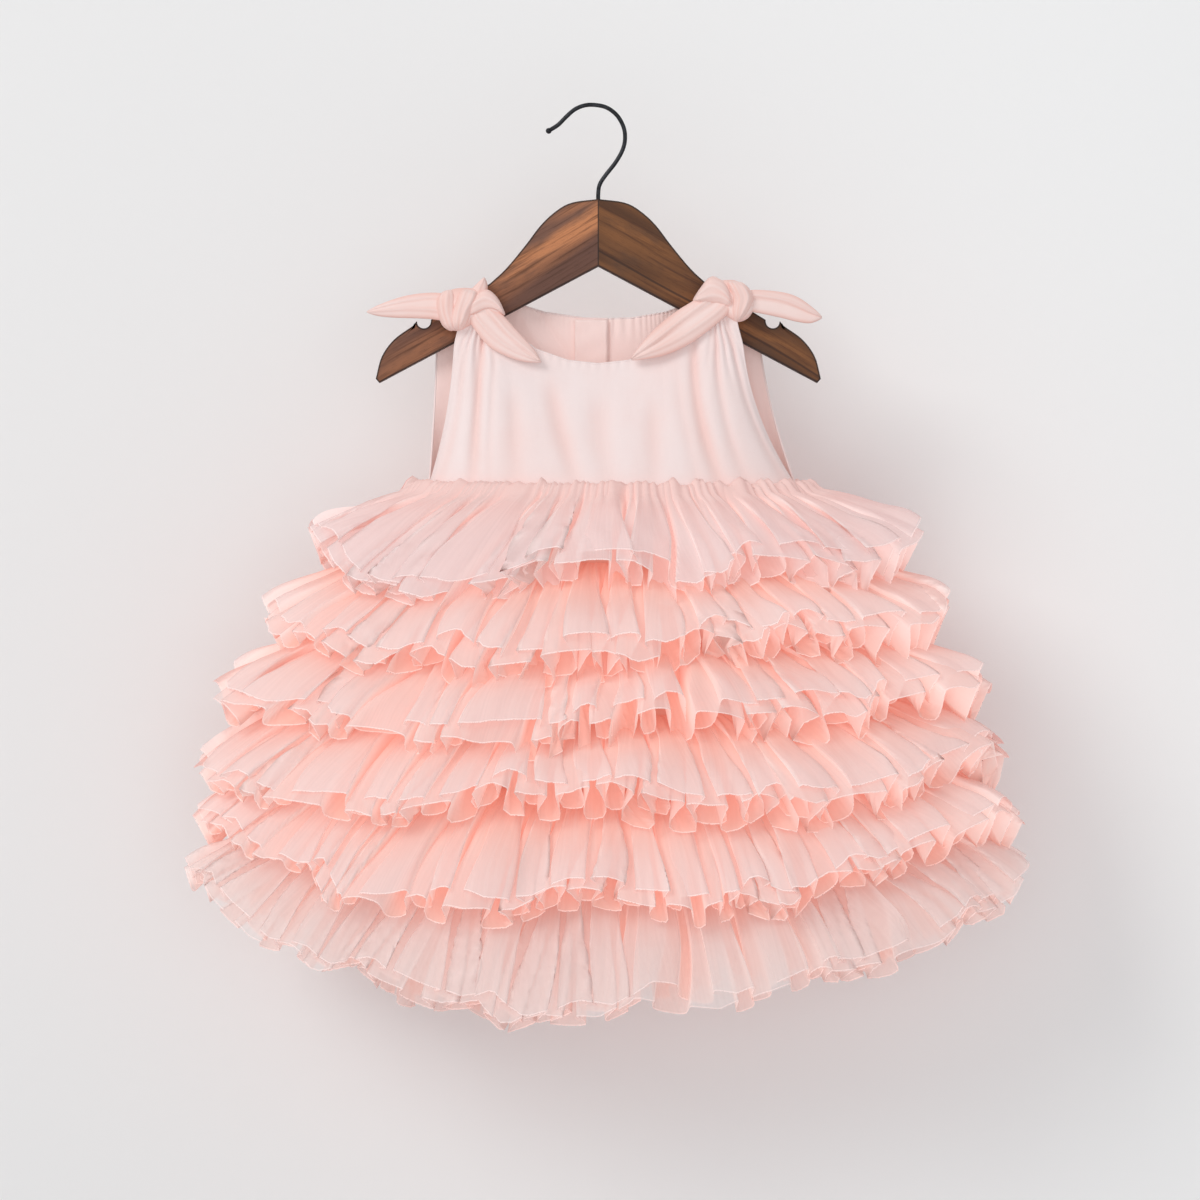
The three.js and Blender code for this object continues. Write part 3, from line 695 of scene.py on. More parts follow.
def tier_values(points, normals, down, wave):
    """What the net's look reads at each point of a tier."""
    facing = np.abs((surface_normals(points) * normals).sum(axis=-1))
    flank = np.maximum(1.15 - 1.25 * facing, 1.2 * turning(points))
    steps = step_lengths(points)
    return {
        "down": down,
        "flank": np.clip(flank, 0, 1),
        # How deep a point lies in a valley, for painted shade and painted glow there
        "valley": np.clip(0.5 - 0.5 * wave, 0, 1) * smooth(0.1, 0.6, down),
        "to_hem": np.concatenate([np.cumsum(steps[::-1], axis=0)[::-1], np.zeros_like(steps[:1])]),
    }


def tier_surface(level, layer, columns, rows):
    """Points of one layer of a tier as a (rows, columns, 3) array, with named values."""
    row = TIER_PLEATS[level]
    rng = np.random.default_rng(row["seed"])
    pleats = pleat_table(row["count"], rng)
    inner = layer == "inner"
    turn, down = np.meshgrid(np.linspace(0, 1, columns), np.linspace(0, 1, rows))
    turn = np.clip(turn, 0, 1 - TINY)
    wander = ripples(turn, down, 16, 0.5, rng) * 0.006 * smooth(0.1, 1.0, down)
    if inner:
        wander += 0.3 / row["count"] * (0.5 + down)
    folded = np.mod(turn + wander, 1.0)

    # Wide outer faces and narrow valleys
    starts = pleats["starts"]
    place = np.interp(folded, starts, np.arange(len(starts)))
    theta = 2 * math.pi * (place - 0.5)
    phase = theta - 0.45 * np.sin(theta)
    values = {key: pleat_value(pleats, key, folded) for key in pleats if key != "starts"}
    flat = values["flat"]
    wave = np.tanh(flat * (np.cos(phase) + 0.3)) / np.tanh(flat)

    # Folds of uneven length, and longer ones at the left
    uneven = 0.09 * values["length"] + 0.045 * ripples(turn, down, 7, 0.0, rng, 3)
    from_left = np.abs(np.mod(turn - LONG_AT + 0.5, 1.0) - 0.5)
    uneven += row["left"] * np.exp(-(from_left / LONG_WIDTH) ** 2)
    plain = plain_tier(level, turn, down * (row[layer] + uneven * down))
    normals = surface_normals(plain)
    across = np.gradient(plain, axis=1)
    pitch = np.linalg.norm(across, axis=-1) * columns / row["count"]

    # The left of the front hangs smoother than the right
    side = (plain[..., 0] - TIER_HEMS[level]["shift"]) / TIER_HEMS[level]["half_width"]
    left = np.where(plain[..., 1] < 0, smooth(0.1, 0.8, -side), 0.0)
    grow = smooth(0.0, 0.9, down) ** 0.8 * row["depth"] * (1 - 0.45 * left)
    out = grow * values["depth"] * (wave + values["skew"] * np.sin(phase))
    along = pitch * values["overlap"] * np.sin(2 * phase) * smooth(0.1, 0.9, down)
    along += row["lean"] * values["lean"] * down ** 2
    gathers = 1.2 * np.sin(2 * math.pi * (place * 3 + 0.4 * np.sin(2 * math.pi * folded * 17)))
    gathers *= smooth(0.0, 0.06, down)
    gathers *= 1 - smooth(0.2, 0.75, down)
    crumple = (0.9 * ripples(turn, down, 40, 2.0, rng) + 0.3 * ripples(turn, down, 110, 4.0, rng))
    crumple *= smooth(0.2, 0.8, down)
    apart = -LAYER_GAP * smooth(0.0, 0.5, down) if inner else 0.8
    points = plain + normals * (out + gathers + crumple + apart)[..., None] + unit(across) * along[..., None]

    # The hem is cut across each fold, so that its open end shows
    opened = smooth(0.55, 1.0, down)
    points[..., 2] += row["open"] * values["open"] * wave * opened * (1 - 0.5 * left)
    points[..., 2] += 1.2 * ripples(turn, down, 40, 1.0, rng) * opened
    if level == 0:
        roll_top(points, normals, turn, down, rng)
    named = tier_values(points, normals, down, wave)
    points[..., 0] += MIDDLE_X
    return points, named


def make_tier_layer(level, layer, material):
    """One layer of a tier, whose cut is as high as its folds are long."""
    columns = TIER_PLEATS[level]["count"] * COLUMNS_PER_PLEAT
    table, values = tier_surface(level, layer, columns + 1, TIER_ROWS + 1)

    def place(u, v):
        return on_grid(table, u, v), {key: on_grid(value, u, v) for key, value in values.items()}

    length = step_lengths(table[-1]).sum() * MM
    height = step_lengths(table).sum(axis=0).mean() * MM
    nodes = [f"tier_{level + 1}_front", f"tier_{level + 1}_back"] if layer == "outer" else []
    shape = (columns, TIER_ROWS), place, (length, height), nodes
    piece = grid_piece(f"tulle_{level + 1}_{layer}", "tulle", material, *shape, turned=True)


# Lining

def make_lining(material):
    """The plain skirt under the tulle, all round."""
    around = np.linspace(0, 1, LINING_GRID[0] + 1)
    down = np.linspace(0, 1, LINING_GRID[1] + 1)
    turns = np.linspace(0, 1 - TINY, len(around))
    table = np.array([oval_loop(section, turns) for section in BASE_SECTIONS])
    levels = np.linspace(0, len(table) - 1, len(down))
    low = np.minimum(levels.astype(int), len(table) - 2)
    share = (levels - low)[:, None, None]
    points = table[low] * (1 - share) + table[low + 1] * share
    ripple = LINING_DEPTH * np.sin(around * 2 * math.pi * LINING_WAVES) * smooth(0.15, 1.0, down)[:, None]
    points = points + surface_normals(points) * ripple[..., None]
    points[..., 0] += MIDDLE_X

    def place(u, v):
        return on_grid(points, u, v), {}

    shape = LINING_GRID, place, (1.0, 0.32), ["skirt_base_front", "skirt_base_back"]
    piece = grid_piece("skirt_lining", "skirt_lining", material, *shape, turned=True)
    add_thickness(piece, LINING_WALL)


# Bodice

# Each row: share of the way from the armhole to the middle, x, y, and z where it isn't the strap's top
FRONT_TOP = [
    (0.0, 99.5, -17, None),
    (0.1, 87, -18.2, None),
    (0.2, 73.5, -17.5, None),
    (0.27, 62, -15.5, -158),
    (0.35, 45, -14, -170.5),
    (0.43, 22, -13.5, -178.3),
    (0.5, 0, -13.5, -180.6),
]
STRAP_TOP = -147.0
# Each row: share of the way from the armhole to the closing, x, y and z
BACK_TOP = [
    (0.0, 113, 8.2, -160),
    (0.1, 99, 8.2, -149.4),
    (0.25, 77, 8.2, -136.6),
    (0.33, 62, 9.5, -137),
    (0.55, 42, 11, -143.4),
    (0.8, 17, 12, -147.2),
    (1.0, 0, 12, -147.7),
]
# Soft folds of the bodice front: share across, width, depth, and the share of the height where each ends
FRONT_FOLDS = [
    (0.045, 0.018, 1.8, 0.85),
    (0.150, 0.020, 3.4, 1.0),
    (0.205, 0.014, 1.0, 0.8),
    (0.270, 0.028, 1.8, 0.6),
    (0.400, 0.024, 2.3, 0.75),
    (0.505, 0.030, 1.8, 0.7),
    (0.610, 0.024, 1.6, 0.6),
    (0.700, 0.018, 1.0, 0.75),
    (0.765, 0.022, 3.4, 0.9),
    (0.850, 0.020, 1.6, 0.9),
    (0.945, 0.018, 2.4, 1.0),
]
BACK_FOLDS = [
    (0.12, 0.04, 2.0, 0.9),
    (0.22, 0.02, 1.2, 1.0),
    (0.34, 0.05, 2.6, 0.85),
    (0.48, 0.025, 1.0, 0.7),
    (0.62, 0.05, 1.8, 0.7),
]
WAIST_Z = -266.2
FRONT_CUT = (0.28, 0.13)  # width and length, in metres
BACK_CUT = (0.15, 0.135)
EDGE_ROLL = 0.8
BUTTON_RADIUS = 4.5
BUTTON_ACROSS = 0.945
BUTTONS_DOWN = (0.07, 0.42, 0.77)
BUTTON_STAND = 0.4
# A button from its middle to under its rim: share of the way, share of the radius, and rise
BUTTON_SECTION = [
    (0, 0, 1.2),
    (0.12, 0.3, 1.2),
    (0.5, 0.62, 1.3),
    (0.62, 0.72, 1.9),
    (0.8, 0.95, 2.0),
    (0.92, 1.0, 1.3),
    (1.0, 0.9, 0.0),
]


def edge_table(rows, key):
    """A table's first column and another one, as np.interp takes them."""
    return [row[0] for row in rows], [row[key] for row in rows]


def fold_field(folds, share, height):
    """How far the folds press the cloth in, in millimetres."""
    pressed = np.zeros_like(share)
    for centre, width, depth, top in folds:
        lean = (share - centre - 0.012 * np.sin(3 * height + centre * 20)) / width
        ends = smooth(0.0, 0.3, top + 0.15 - height) * smooth(-0.3, 0.35, height)
        pressed += depth * np.exp(-lean * lean) * ends
    return pressed


def bodice_front_points(u, v):
    """u runs from the left armhole to the right one, v from the top to the waist."""
    height = 1 - v
    half = np.minimum(u, 1 - u)
    hand = np.where(u < 0.5, -1, 1)
    top_x = np.interp(half, *edge_table(FRONT_TOP, 1)) * hand
    top_y = np.interp(half, *edge_table(FRONT_TOP, 2))
    known = [(row[0], STRAP_TOP if row[3] is None else row[3]) for row in FRONT_TOP]
    top_z = np.interp(half, *edge_table(known, 1))
    foot = oval_line(BASE_SECTIONS[0], FRONT, u)
    x = mix(top_x * (1 - 0.035 * smooth(0.8, 1.0, height)), foot[:, 0], (1 - height) ** 2.1)
    y = mix(top_y, foot[:, 1], (1 - height) ** 1.4)
    z = mix(WAIST_Z, top_z, height)
    edge = np.clip(14 * half, 0, 1)
    y = y + fold_field(FRONT_FOLDS, u, height) * edge
    # Creases that fan out below each knot, and the eased edge of the neck
    fan = (half - 0.105) / (0.035 + 0.16 * (1 - height))
    creases = np.cos(2 * math.pi * (1.6 * fan + 0.2 * hand)) * np.exp(-fan * fan) * smooth(0.45, 1.0, height)
    y = y + 1.5 * creases
    neck = smooth(0.9, 1.0, height) * smooth(0.27, 0.36, half)
    y = y + 0.35 * neck * np.sin(u * 2 * math.pi * 44)
    # Painted shade in the folds and in the creases under the knots
    pressed = fold_field(FRONT_FOLDS, u, height) * edge / 4.0 + 0.3 * np.clip(creases, 0, 1)
    return np.stack([x + MIDDLE_X, y - 0.9, z], axis=-1), {"crease": np.clip(pressed, 0, 1)}


def bodice_back_points(hand):
    """A function of u from the side seam to the closing and v down, for one half of the back."""

    def place(u, v):
        height = 1 - v
        closing = CLOSING_X + hand * 0.2
        top_x = np.interp(u, *edge_table(BACK_TOP, 1))
        top_x = hand * top_x + closing * (1 - top_x / BACK_TOP[0][1])
        top_y = np.interp(u, *edge_table(BACK_TOP, 2))
        top_z = np.interp(u, *edge_table(BACK_TOP, 3))
        share = u / 2 if hand == RIGHT else 1 - u / 2
        foot = oval_line(BASE_SECTIONS[0], BACK, share)
        to_closing = smooth(0.9, 1.0, u)
        foot_x = mix(foot[:, 0], closing, to_closing)
        x = mix(top_x, foot_x, (1 - height) ** 1.5)
        y = mix(top_y, foot[:, 1], (1 - height) ** 1.4)
        z = mix(WAIST_Z, top_z, height)
        edge = np.clip(8 * np.minimum(u, 1 - u), 0, 1)
        y = y - fold_field(BACK_FOLDS, u, height) * edge
        # Drawn-up neckline, and creases that pull from the closing to the shoulder
        uneven = np.sin(2 * math.pi * (21 * u + 1.1 * np.sin(2 * math.pi * 1.7 * u)))
        y = y + (0.5 if hand == RIGHT else 0.2) * uneven * smooth(0.82, 1.0, height) * smooth(0.25, 0.4, u)
        pull = (u - 0.35 - 0.9 * (1 - height)) / 0.05
        y = y - 1.5 * np.exp(-pull * pull) * smooth(0.5, 0.8, height)
        y = y + 1.1 * np.exp(-((u - 0.5 - 0.9 * (1 - height)) / 0.04) ** 2) * smooth(0.5, 0.8, height)
        # Painted shade in the folds
        pressed = fold_field(BACK_FOLDS, u, height) * edge / 3.0
        return np.stack([x + MIDDLE_X, y + 0.9, z], axis=-1), {"crease": np.clip(pressed, 0, 1)}

    return place


def rolled_edge(name, line, radius, material):
    """A thin turned edge along a line of points."""
    step = unit(np.gradient(line, axis=0))
    side = unit(np.cross(step, (0.0, 1.0, 0.0)))
    up = np.cross(side, step)
    last = len(line) - 1

    def place(u, v):
        row = np.rint(u * last).astype(int)
        angle = 2 * math.pi * v
        ends = np.where((row == 0) | (row == last), 0.0, radius)
        turn = side[row] * np.cos(angle)[:, None] + up[row] * np.sin(angle)[:, None]
        return line[row] + turn * ends[:, None], {}

    grid_piece(name, "bodice_cotton", material, (last, 10), place, (0.2, 0.005), closed=True)


def edge_line(place, along, fixed, count):
    """Points of a panel's edge: along is u or v, and the other one is fixed."""
    share = np.linspace(0, 1, count)
    still = np.full(count, fixed)
    points, _ = place(share, still) if along == "u" else place(still, share)
    return points


def make_edges(material):
    """Turned edges of the neck, the armholes and the closing."""
    edges = [
        ("front_neck", bodice_front_points, "u", 0.0, 240, EDGE_ROLL),
        ("front_left", bodice_front_points, "v", 0.0, 90, EDGE_ROLL),
        ("front_right", bodice_front_points, "v", 1.0, 90, EDGE_ROLL),
    ]
    for hand, word in HANDS:
        place = bodice_back_points(hand)
        edges.append((f"back_neck_{word}", place, "u", 0.0, 200, EDGE_ROLL))
        edges.append((f"back_arm_{word}", place, "v", 0.0, 90, EDGE_ROLL))
        edges.append((f"back_closing_{word}", place, "v", 1.0, 60, EDGE_ROLL * 0.7))
    for name, place, along, fixed, count, radius in edges:
        rolled_edge(f"edge_{name}", edge_line(place, along, fixed, count), radius, material)


def button_points(centre):
    """A function of u round a button and v from its middle to under its rim."""

    def place(u, v):
        radius = BUTTON_RADIUS * np.interp(v, *edge_table(BUTTON_SECTION, 1))
        rise = np.interp(v, *edge_table(BUTTON_SECTION, 2))
        angle = 2 * math.pi * u
        x = centre[0] + radius * np.cos(angle)
        z = centre[2] + radius * np.sin(angle)
        return np.stack([x, centre[1] + BUTTON_STAND + rise, z], axis=-1), {}

    return place


def make_buttons(material):
    """Three small buttons on the left half of the back, beside its closing edge."""
    panel = bodice_back_points(LEFT)
    for index, down in enumerate(BUTTONS_DOWN):
        centre = panel(np.array([BUTTON_ACROSS]), np.array([down]))[0][0]
        shape = (32, 25), button_points(centre)
        grid_piece(f"button_{index + 1}", "bodice_cotton", material, *shape, closed=True)


def make_bodice(front_material, back_material):
    """The front panel and the two back panels."""
    panels = [("front", front_material, (200, 84), bodice_front_points, (0.27, 0.12), True, FRONT_CUT)]
    for hand, word in HANDS:
        place = bodice_back_points(hand)
        shape = (100, 70), place, (0.14, 0.13), hand == RIGHT
        panels.append((f"back_{word}", back_material, *shape, BACK_CUT))
    for word, material, grid, place, size, turned, cut in panels:
        shape = grid, place, size, [f"bodice_{word}"], turned
        piece = grid_piece(f"bodice_{word}_cloth", "bodice_cotton", material, *shape)
        add_thickness(piece, BODICE_WALL)


def placket_points(u, v):
    """The strip inside the closing: u from the closing to the left and v down."""
    x = MIDDLE_X + CLOSING_X - mix(1.0, 24.0, u)
    y = mix(9.7, 22.2, v ** 1.2) + 0.4 * np.sin(v * 40 + u * 5) * np.sin(u * 9)
    return np.stack([x, y, mix(-148.4, -256, v)], axis=-1), {}


def make_placket(material):
    shape = (12, 60), placket_points, (0.023, 0.108), ["back_placket"]
    piece = grid_piece("back_placket_cloth", "bodice_cotton", material, *shape)
    add_thickness(piece, PLACKET_WALL)


# Knots and tails: folded cloth between two edges that are traced as pixels of the photograph

# Each row: name, one edge, the other edge, depth of its middle at each end, how far it bulges to the front
# and to the back, how square its ends are, and its folds as place across (-1 to 1), width and height
LEFT_KNOT = [
    ("core", [(437, 297), (450, 291), (466, 289), (484, 292), (498, 301), (505, 313)],
     [(437, 317), (447, 329), (460, 332), (474, 325), (490, 318), (505, 317)], (-16, -17), (8.0, 9.0), 6,
     [(0.2, 0.2, 0.6)]),
    ("side", [(441, 293), (437, 302), (438, 314), (443, 327), (449, 333)],
     [(455, 290), (457, 301), (457, 312), (459, 323), (458, 331)], (-18, -18), (8.5, 7.0), 5,
     [(-0.1, 0.18, 0.8), (0.6, 0.12, 0.5)]),
    ("wrap", [(461, 289), (457, 300), (453, 311), (451, 322), (453, 332)],
     [(482, 293), (478, 303), (473, 313), (470, 322), (465, 331)], (-18.5, -18.5), (10.6, 7.0), 5,
     [(-0.35, 0.16, 0.9), (0.35, 0.14, 0.8)]),
    ("lobe", [(468, 303), (479, 294), (488, 291), (498, 299), (506, 314)],
     [(467, 321), (478, 316), (488, 312), (497, 313), (505, 318)], (-19, -18), (8.8, 7.0), 6,
     [(0.1, 0.2, 0.9), (-0.55, 0.12, 0.5)]),
    ("loop", [(466, 296), (472, 290), (478, 284), (484, 278)],
     [(488, 298), (488, 292), (488, 286), (486, 279)],
     (-16, -12), (6.0, 4.0), 8, [(0.0, 0.2, 0.8)]),
]
RIGHT_KNOT = [
    ("core", [(693, 299), (704, 287), (718, 282), (736, 282), (748, 291), (755, 302)],
     [(694, 305), (709, 309), (722, 315), (735, 323), (747, 320), (755, 310)], (-17, -16), (8.0, 9.0), 6,
     [(0.1, 0.2, 0.6)]),
    ("lobe", [(692, 300), (700, 289), (709, 279), (720, 281), (728, 290), (732, 303)],
     [(693, 304), (702, 305), (712, 306), (720, 307), (727, 309), (732, 308)], (-19, -19), (9.6, 7.0), 6,
     [(0.25, 0.16, 0.8), (-0.35, 0.16, 0.6)]),
    ("wrap", [(722, 282), (727, 290), (731, 301), (731, 312), (733, 323)],
     [(744, 283), (750, 292), (753, 301), (748, 313), (740, 323)], (-18.5, -18.5), (9.8, 7.0), 5,
     [(-0.4, 0.14, 0.8), (0.1, 0.12, 0.7), (0.55, 0.12, 0.6)]),
    ("loop", [(700, 292), (705, 284), (710, 278), (715, 277)],
     [(712, 297), (718, 290), (720, 284), (719, 280)],
     (-16, -12), (6.0, 4.0), 8, [(0.0, 0.2, 0.6)]),
]
TAILS = {
    "tail_left_outer": (
        [(452, 295), (432, 294), (412, 296), (396, 300), (380, 306), (367.5, 312)],
        [(452, 324), (432, 320.5), (412, 319.5), (396, 319), (380, 317.5), (368, 314.5)],
        (-19, -17), (3.2, 1.6), 14,
        [(-0.25, 0.1, 0.9), (0.5, 0.08, -0.7)],
    ),
    "tail_left_inner": (
        [(490, 304), (503, 316), (514, 328), (525, 340), (534, 350), (542, 362)],
        [(466, 318), (479, 336), (491, 349), (508, 358), (524, 363), (541, 364.5)],
        (-21.5, -21.5), (3.4, 1.8), 14,
        [(0.15, 0.07, -1.3), (-0.3, 0.1, 1.0), (0.6, 0.1, 0.8)],
    ),
    "tail_right_outer": (
        [(744, 291), (764, 291.5), (784, 294), (798, 299), (811, 308), (821.5, 317)],
        [(744, 312), (766, 316), (782, 319.5), (796, 323), (809, 324.5), (820.5, 321)],
        (-19, -17), (3.0, 1.6), 14,
        [(0.1, 0.1, -1.0), (0.45, 0.1, 0.8)],
    ),
    "tail_right_inner": (
        [(706, 294), (690, 304), (674, 314), (659, 326), (644, 341), (630, 359)],
        [(735, 308), (720, 322), (704, 335), (686, 347), (663, 357), (632, 362.5)],
        (-22, -21), (3.6, 1.8), 14,
        [(0.1, 0.07, -1.4), (-0.35, 0.1, 1.0), (0.5, 0.09, 0.9)],
    ),
}
# The strap over each arm: depth and rise over the arm's upper edge, from the back to the knot
STRAP_X = 91.6
STRAP_HALF_WIDTH = 12.5
STRAP_PATH = [
    (8.8, -17), (8.2, -9), (7.3, -3), (5.2, 0.9), (0, 1.7), (-4.4, 1.5), (-8.5, 0.6), (-12.5, -3), (-15, -8),
]


def traced(points, share):
    """A smooth line through pixels of the photograph, as x and z at shares of its length."""
    line = curve_points([photo_point(*point) for point in points], 6)
    steps = np.concatenate([[0], np.cumsum(step_lengths(line))])
    return np.stack([np.interp(share * steps[-1], steps, line[:, k]) for k in range(2)], axis=-1)


def folded_points(upper, lower, middle, bulge, square, folds):
    """A flat tube of folded cloth: u along it and v round it, from its front's upper edge."""

    def place(u, v):
        top, foot = traced(upper, u), traced(lower, u)
        ends = np.power(np.clip(1 - np.abs(2 * u - 1) ** square, 0, 1), 0.5)
        c, s = np.cos(2 * math.pi * v), np.sin(2 * math.pi * v)
        across = np.sign(c) * np.abs(c) ** 0.8
        flat = (top + foot) / 2 + (top - foot) / 2 * (across * mix(0.35, 1.0, ends))[:, None]
        out = np.where(s > 0, bulge[0], bulge[1]) * np.sign(s) * np.abs(s) ** 0.75
        # Painted shade along the folded edges and towards the ends
        crease = 0.75 * smooth(0.55, 1.0, np.abs(across)) + 0.5 * smooth(0.6, 0.1, ends)
        for centre, width, height in folds:
            lean = (across - centre - 0.12 * np.sin(3.0 * u + 5 * centre)) / width
            out += height * np.exp(-lean * lean) * np.where(s > 0, 1, -0.4)
            # A raised fold is shaded on both sides, and a pressed one in its middle
            crease += 0.4 * (np.exp(-(np.abs(lean) - 1.3) ** 2) if height > 0 else np.exp(-lean * lean))
        y = mix(middle[0], middle[1], u) - out * ends
        return np.stack([flat[:, 0], y, flat[:, 1]], axis=-1), {"crease": np.clip(crease, 0, 1)}

    return place


def strap_points(hand):
    """The strap over an arm: u across it and v from the back to the knot."""
    line = curve_points(STRAP_PATH, 5)

    def place(u, v):
        share = v * (len(line) - 1)
        y = np.interp(share, np.arange(len(line)), line[:, 0])
        rise = np.interp(share, np.arange(len(line)), line[:, 1])
        x = STRAP_X + (2 * u - 1) * STRAP_HALF_WIDTH * (1 - 0.2 * smooth(0.5, 1.0, v))
        edge = SHOULDER[-1][1] - ARM_SLOPE * (x - SHOULDER[-1][0])
        pleat = 0.5 * np.cos(2 * math.pi * (u * 4 + 0.3 * v))
        over = np.clip(1 - np.abs(y) / 9, 0, 1)
        y = y + np.sign(y) * pleat * (1 - over)
        return np.stack([MIDDLE_X + hand * x, y, edge + rise + (0.5 + pleat) * over], axis=-1), {}

    return place


def make_knots(material):
    """The knots, the straps over the hanger's arms and the tails."""
    for (hand, word), lumps in zip(HANDS, (LEFT_KNOT, RIGHT_KNOT)):
        for part, *lump in lumps:
            shape = (40, 56), folded_points(*lump), (0.03, 0.06), [f"knot_{word}"] if part == "core" else []
            grid_piece(f"knot_{word}_{part}", "bodice_cotton", material, *shape, closed=True)
        shape = (32, 60), strap_points(hand), (0.025, 0.05), [f"tie_{word}"]
        strap = grid_piece(f"strap_{word}", "bodice_cotton", material, *shape, turned=hand == LEFT)
        add_thickness(strap, STRAP_WALL)
    for name, tail in TAILS.items():
        shape = (64, 56), folded_points(*tail), (0.06, 0.04), [name]
        grid_piece(f"{name}_cloth", "bodice_cotton", material, *shape, closed=True)


# Hanger and hook

# The wire's middle line as x and z, from its tip to its end in the wood
HOOK_LINE = [
    (-30.3, -16.7),
    (-23.7, -12.5),
    (-18.1, -6.9),
    (-12.3, -1.9),
    (-5.9, 0.9),
    (1.0, 1.5),
    (10.0, -0.3),
    (17.5, -5.9),
    (22.2, -14.4),
    (23.1, -22.8),
    (21.3, -30.3),
    (16.6, -38.7),
    (9.3, -48.1),
    (5.6, -53.9),
    (4.4, -60.0),
    (4.4, -72.0),
    (4.4, -86.0),
]
WIRE = 3.0  # across
TIP_RADIUS = 2.1
# The right arm's upper edge from the crown to the strap, and its end, as x from the middle line and z
SHOULDER = [
    (0, -64.8), (18, -67.2), (28.9, -72.8), (40.1, -83), (51.1, -97.4), (64.6, -113.6), (75.7, -123.9),
]
ARM_END = [(129.5, -153.4), (142.7, -163), (151.4, -175), (155.6, -190.5)]
ARM_CORNER = (153.2, -193.2)
FORK_Z = -111.7
ARM_SLOPE = 0.614
NOTCH = (122, -150.2, 5.0)  # x, z and radius
HANGER_THICKNESS = 12.0
RIM_ROUND = 1.9
FACE_INSET = 1.4
LEVEL_FACE = 0.999  # a face counts as flat from this much of its normal along Y
ARM_LEAN = 0.57
ARM_STEP = 0.9  # keeps the two arms apart on the grain map, in metres
SIDE_STEP = 0.7  # how fast the grain map runs on over the hanger's thickness
CROWN_EDGE = -68.0
FORK_EDGE = -108.5


def make_hook(material):
    """A bent wire, swept as a curve and kept as a mesh, with a ball at its tip."""
    curve = bpy.data.curves.new("hook_line", "CURVE")
    curve.dimensions = "3D"
    curve.bevel_depth = WIRE / 2 * MM
    curve.bevel_resolution = 5
    line = curve_points(HOOK_LINE, 8)
    spline = curve.splines.new("POLY")
    spline.points.add(len(line) - 1)
    for point, (x, z) in zip(spline.points, line):
        point.co = (x * MM, 0, z * MM, 1)
    holder = bpy.data.objects.new("hook_line", curve)
    wire = bpy.data.meshes.new_from_object(holder)
    bpy.data.objects.remove(holder)
    bm = bmesh.new()
    bm.from_mesh(wire)
    ball = bmesh.ops.create_uvsphere(bm, u_segments=20, v_segments=12, radius=TIP_RADIUS * MM)
    tip = Vector((HOOK_LINE[0][0] * MM, 0, HOOK_LINE[0][1] * MM))
    bmesh.ops.translate(bm, verts=ball["verts"], vec=tip)
    bm.to_mesh(wire)
    bm.free()
    wire.shade_smooth()
    wire.name = "hook_wire"
    wire.materials.clear()
    wire.materials.append(material)
    collect("hook_wire", wire, ["hook"])


def hanger_outline():
    """The hanger's outline, clockwise from the crown, from its middle line."""
    crown = curve_points(SHOULDER, 4)
    inside = NOTCH[0] - NOTCH[2]
    straight = [(inside, SHOULDER[-1][1] - ARM_SLOPE * (inside - SHOULDER[-1][0]))]
    turns = np.linspace(math.pi, 2 * math.pi, 13)
    notch = np.stack([NOTCH[0] + NOTCH[2] * np.cos(turns), NOTCH[1] + NOTCH[2] * np.sin(turns)], axis=-1)
    half = np.vstack([crown, straight, notch, curve_points(ARM_END, 5), [ARM_CORNER]])
    mirrored = half[1:][::-1] * (-1, 1)
    return np.vstack([half, [(0, FORK_Z)], mirrored])


def raise_hanger(bm):
    """The hanger's rounded solid, cut on its middle line. Gives the points inside its flat faces."""
    half = HANGER_THICKNESS / 2
    ring = [bm.verts.new(((x + MIDDLE_X) * MM, half * MM, z * MM)) for x, z in hanger_outline()]
    raised = bmesh.ops.extrude_face_region(bm, geom=[bm.faces.new(ring)])
    moved = [item for item in raised["geom"] if isinstance(item, bmesh.types.BMVert)]
    bmesh.ops.translate(bm, verts=moved, vec=(0, -HANGER_THICKNESS * MM, 0))
    bmesh.ops.recalc_face_normals(bm, faces=bm.faces)
    rims = [edge for edge in bm.edges if abs(edge.verts[0].co.y - edge.verts[1].co.y) < 1e-7]
    bevel = {"segments": 4, "profile": 0.5, "affect": "EDGES", "clamp_overlap": True, "material": -1}
    bmesh.ops.bevel(bm, geom=rims, offset=RIM_ROUND * MM, **bevel)
    flat = [face for face in bm.faces if abs(face.normal.y) > LEVEL_FACE and len(face.verts) > 20]
    bmesh.ops.inset_region(bm, faces=flat, thickness=FACE_INSET * MM, use_even_offset=True)
    inner = {vertex for face in flat for vertex in face.verts}
    everything = list(bm.verts) + list(bm.edges) + list(bm.faces)
    middle = (MIDDLE_X * MM, 0, 0)
    bmesh.ops.bisect_plane(bm, geom=everything, plane_co=middle, plane_no=(1, 0, 0), dist=1e-7)
    return inner


def darken_rims(bm, dark, inner):
    """Marks the rims, but not the faces' inner points or the cut between the arms."""
    level = (HANGER_THICKNESS / 2 - 0.05) * MM
    for vertex in bm.verts:
        x, y, z = vertex.co
        cut = abs(x - MIDDLE_X * MM) < 1e-6 and abs(y) > level and CROWN_EDGE > z / MM > FORK_EDGE
        vertex[dark] = 0.0 if vertex in inner or cut else 1.0


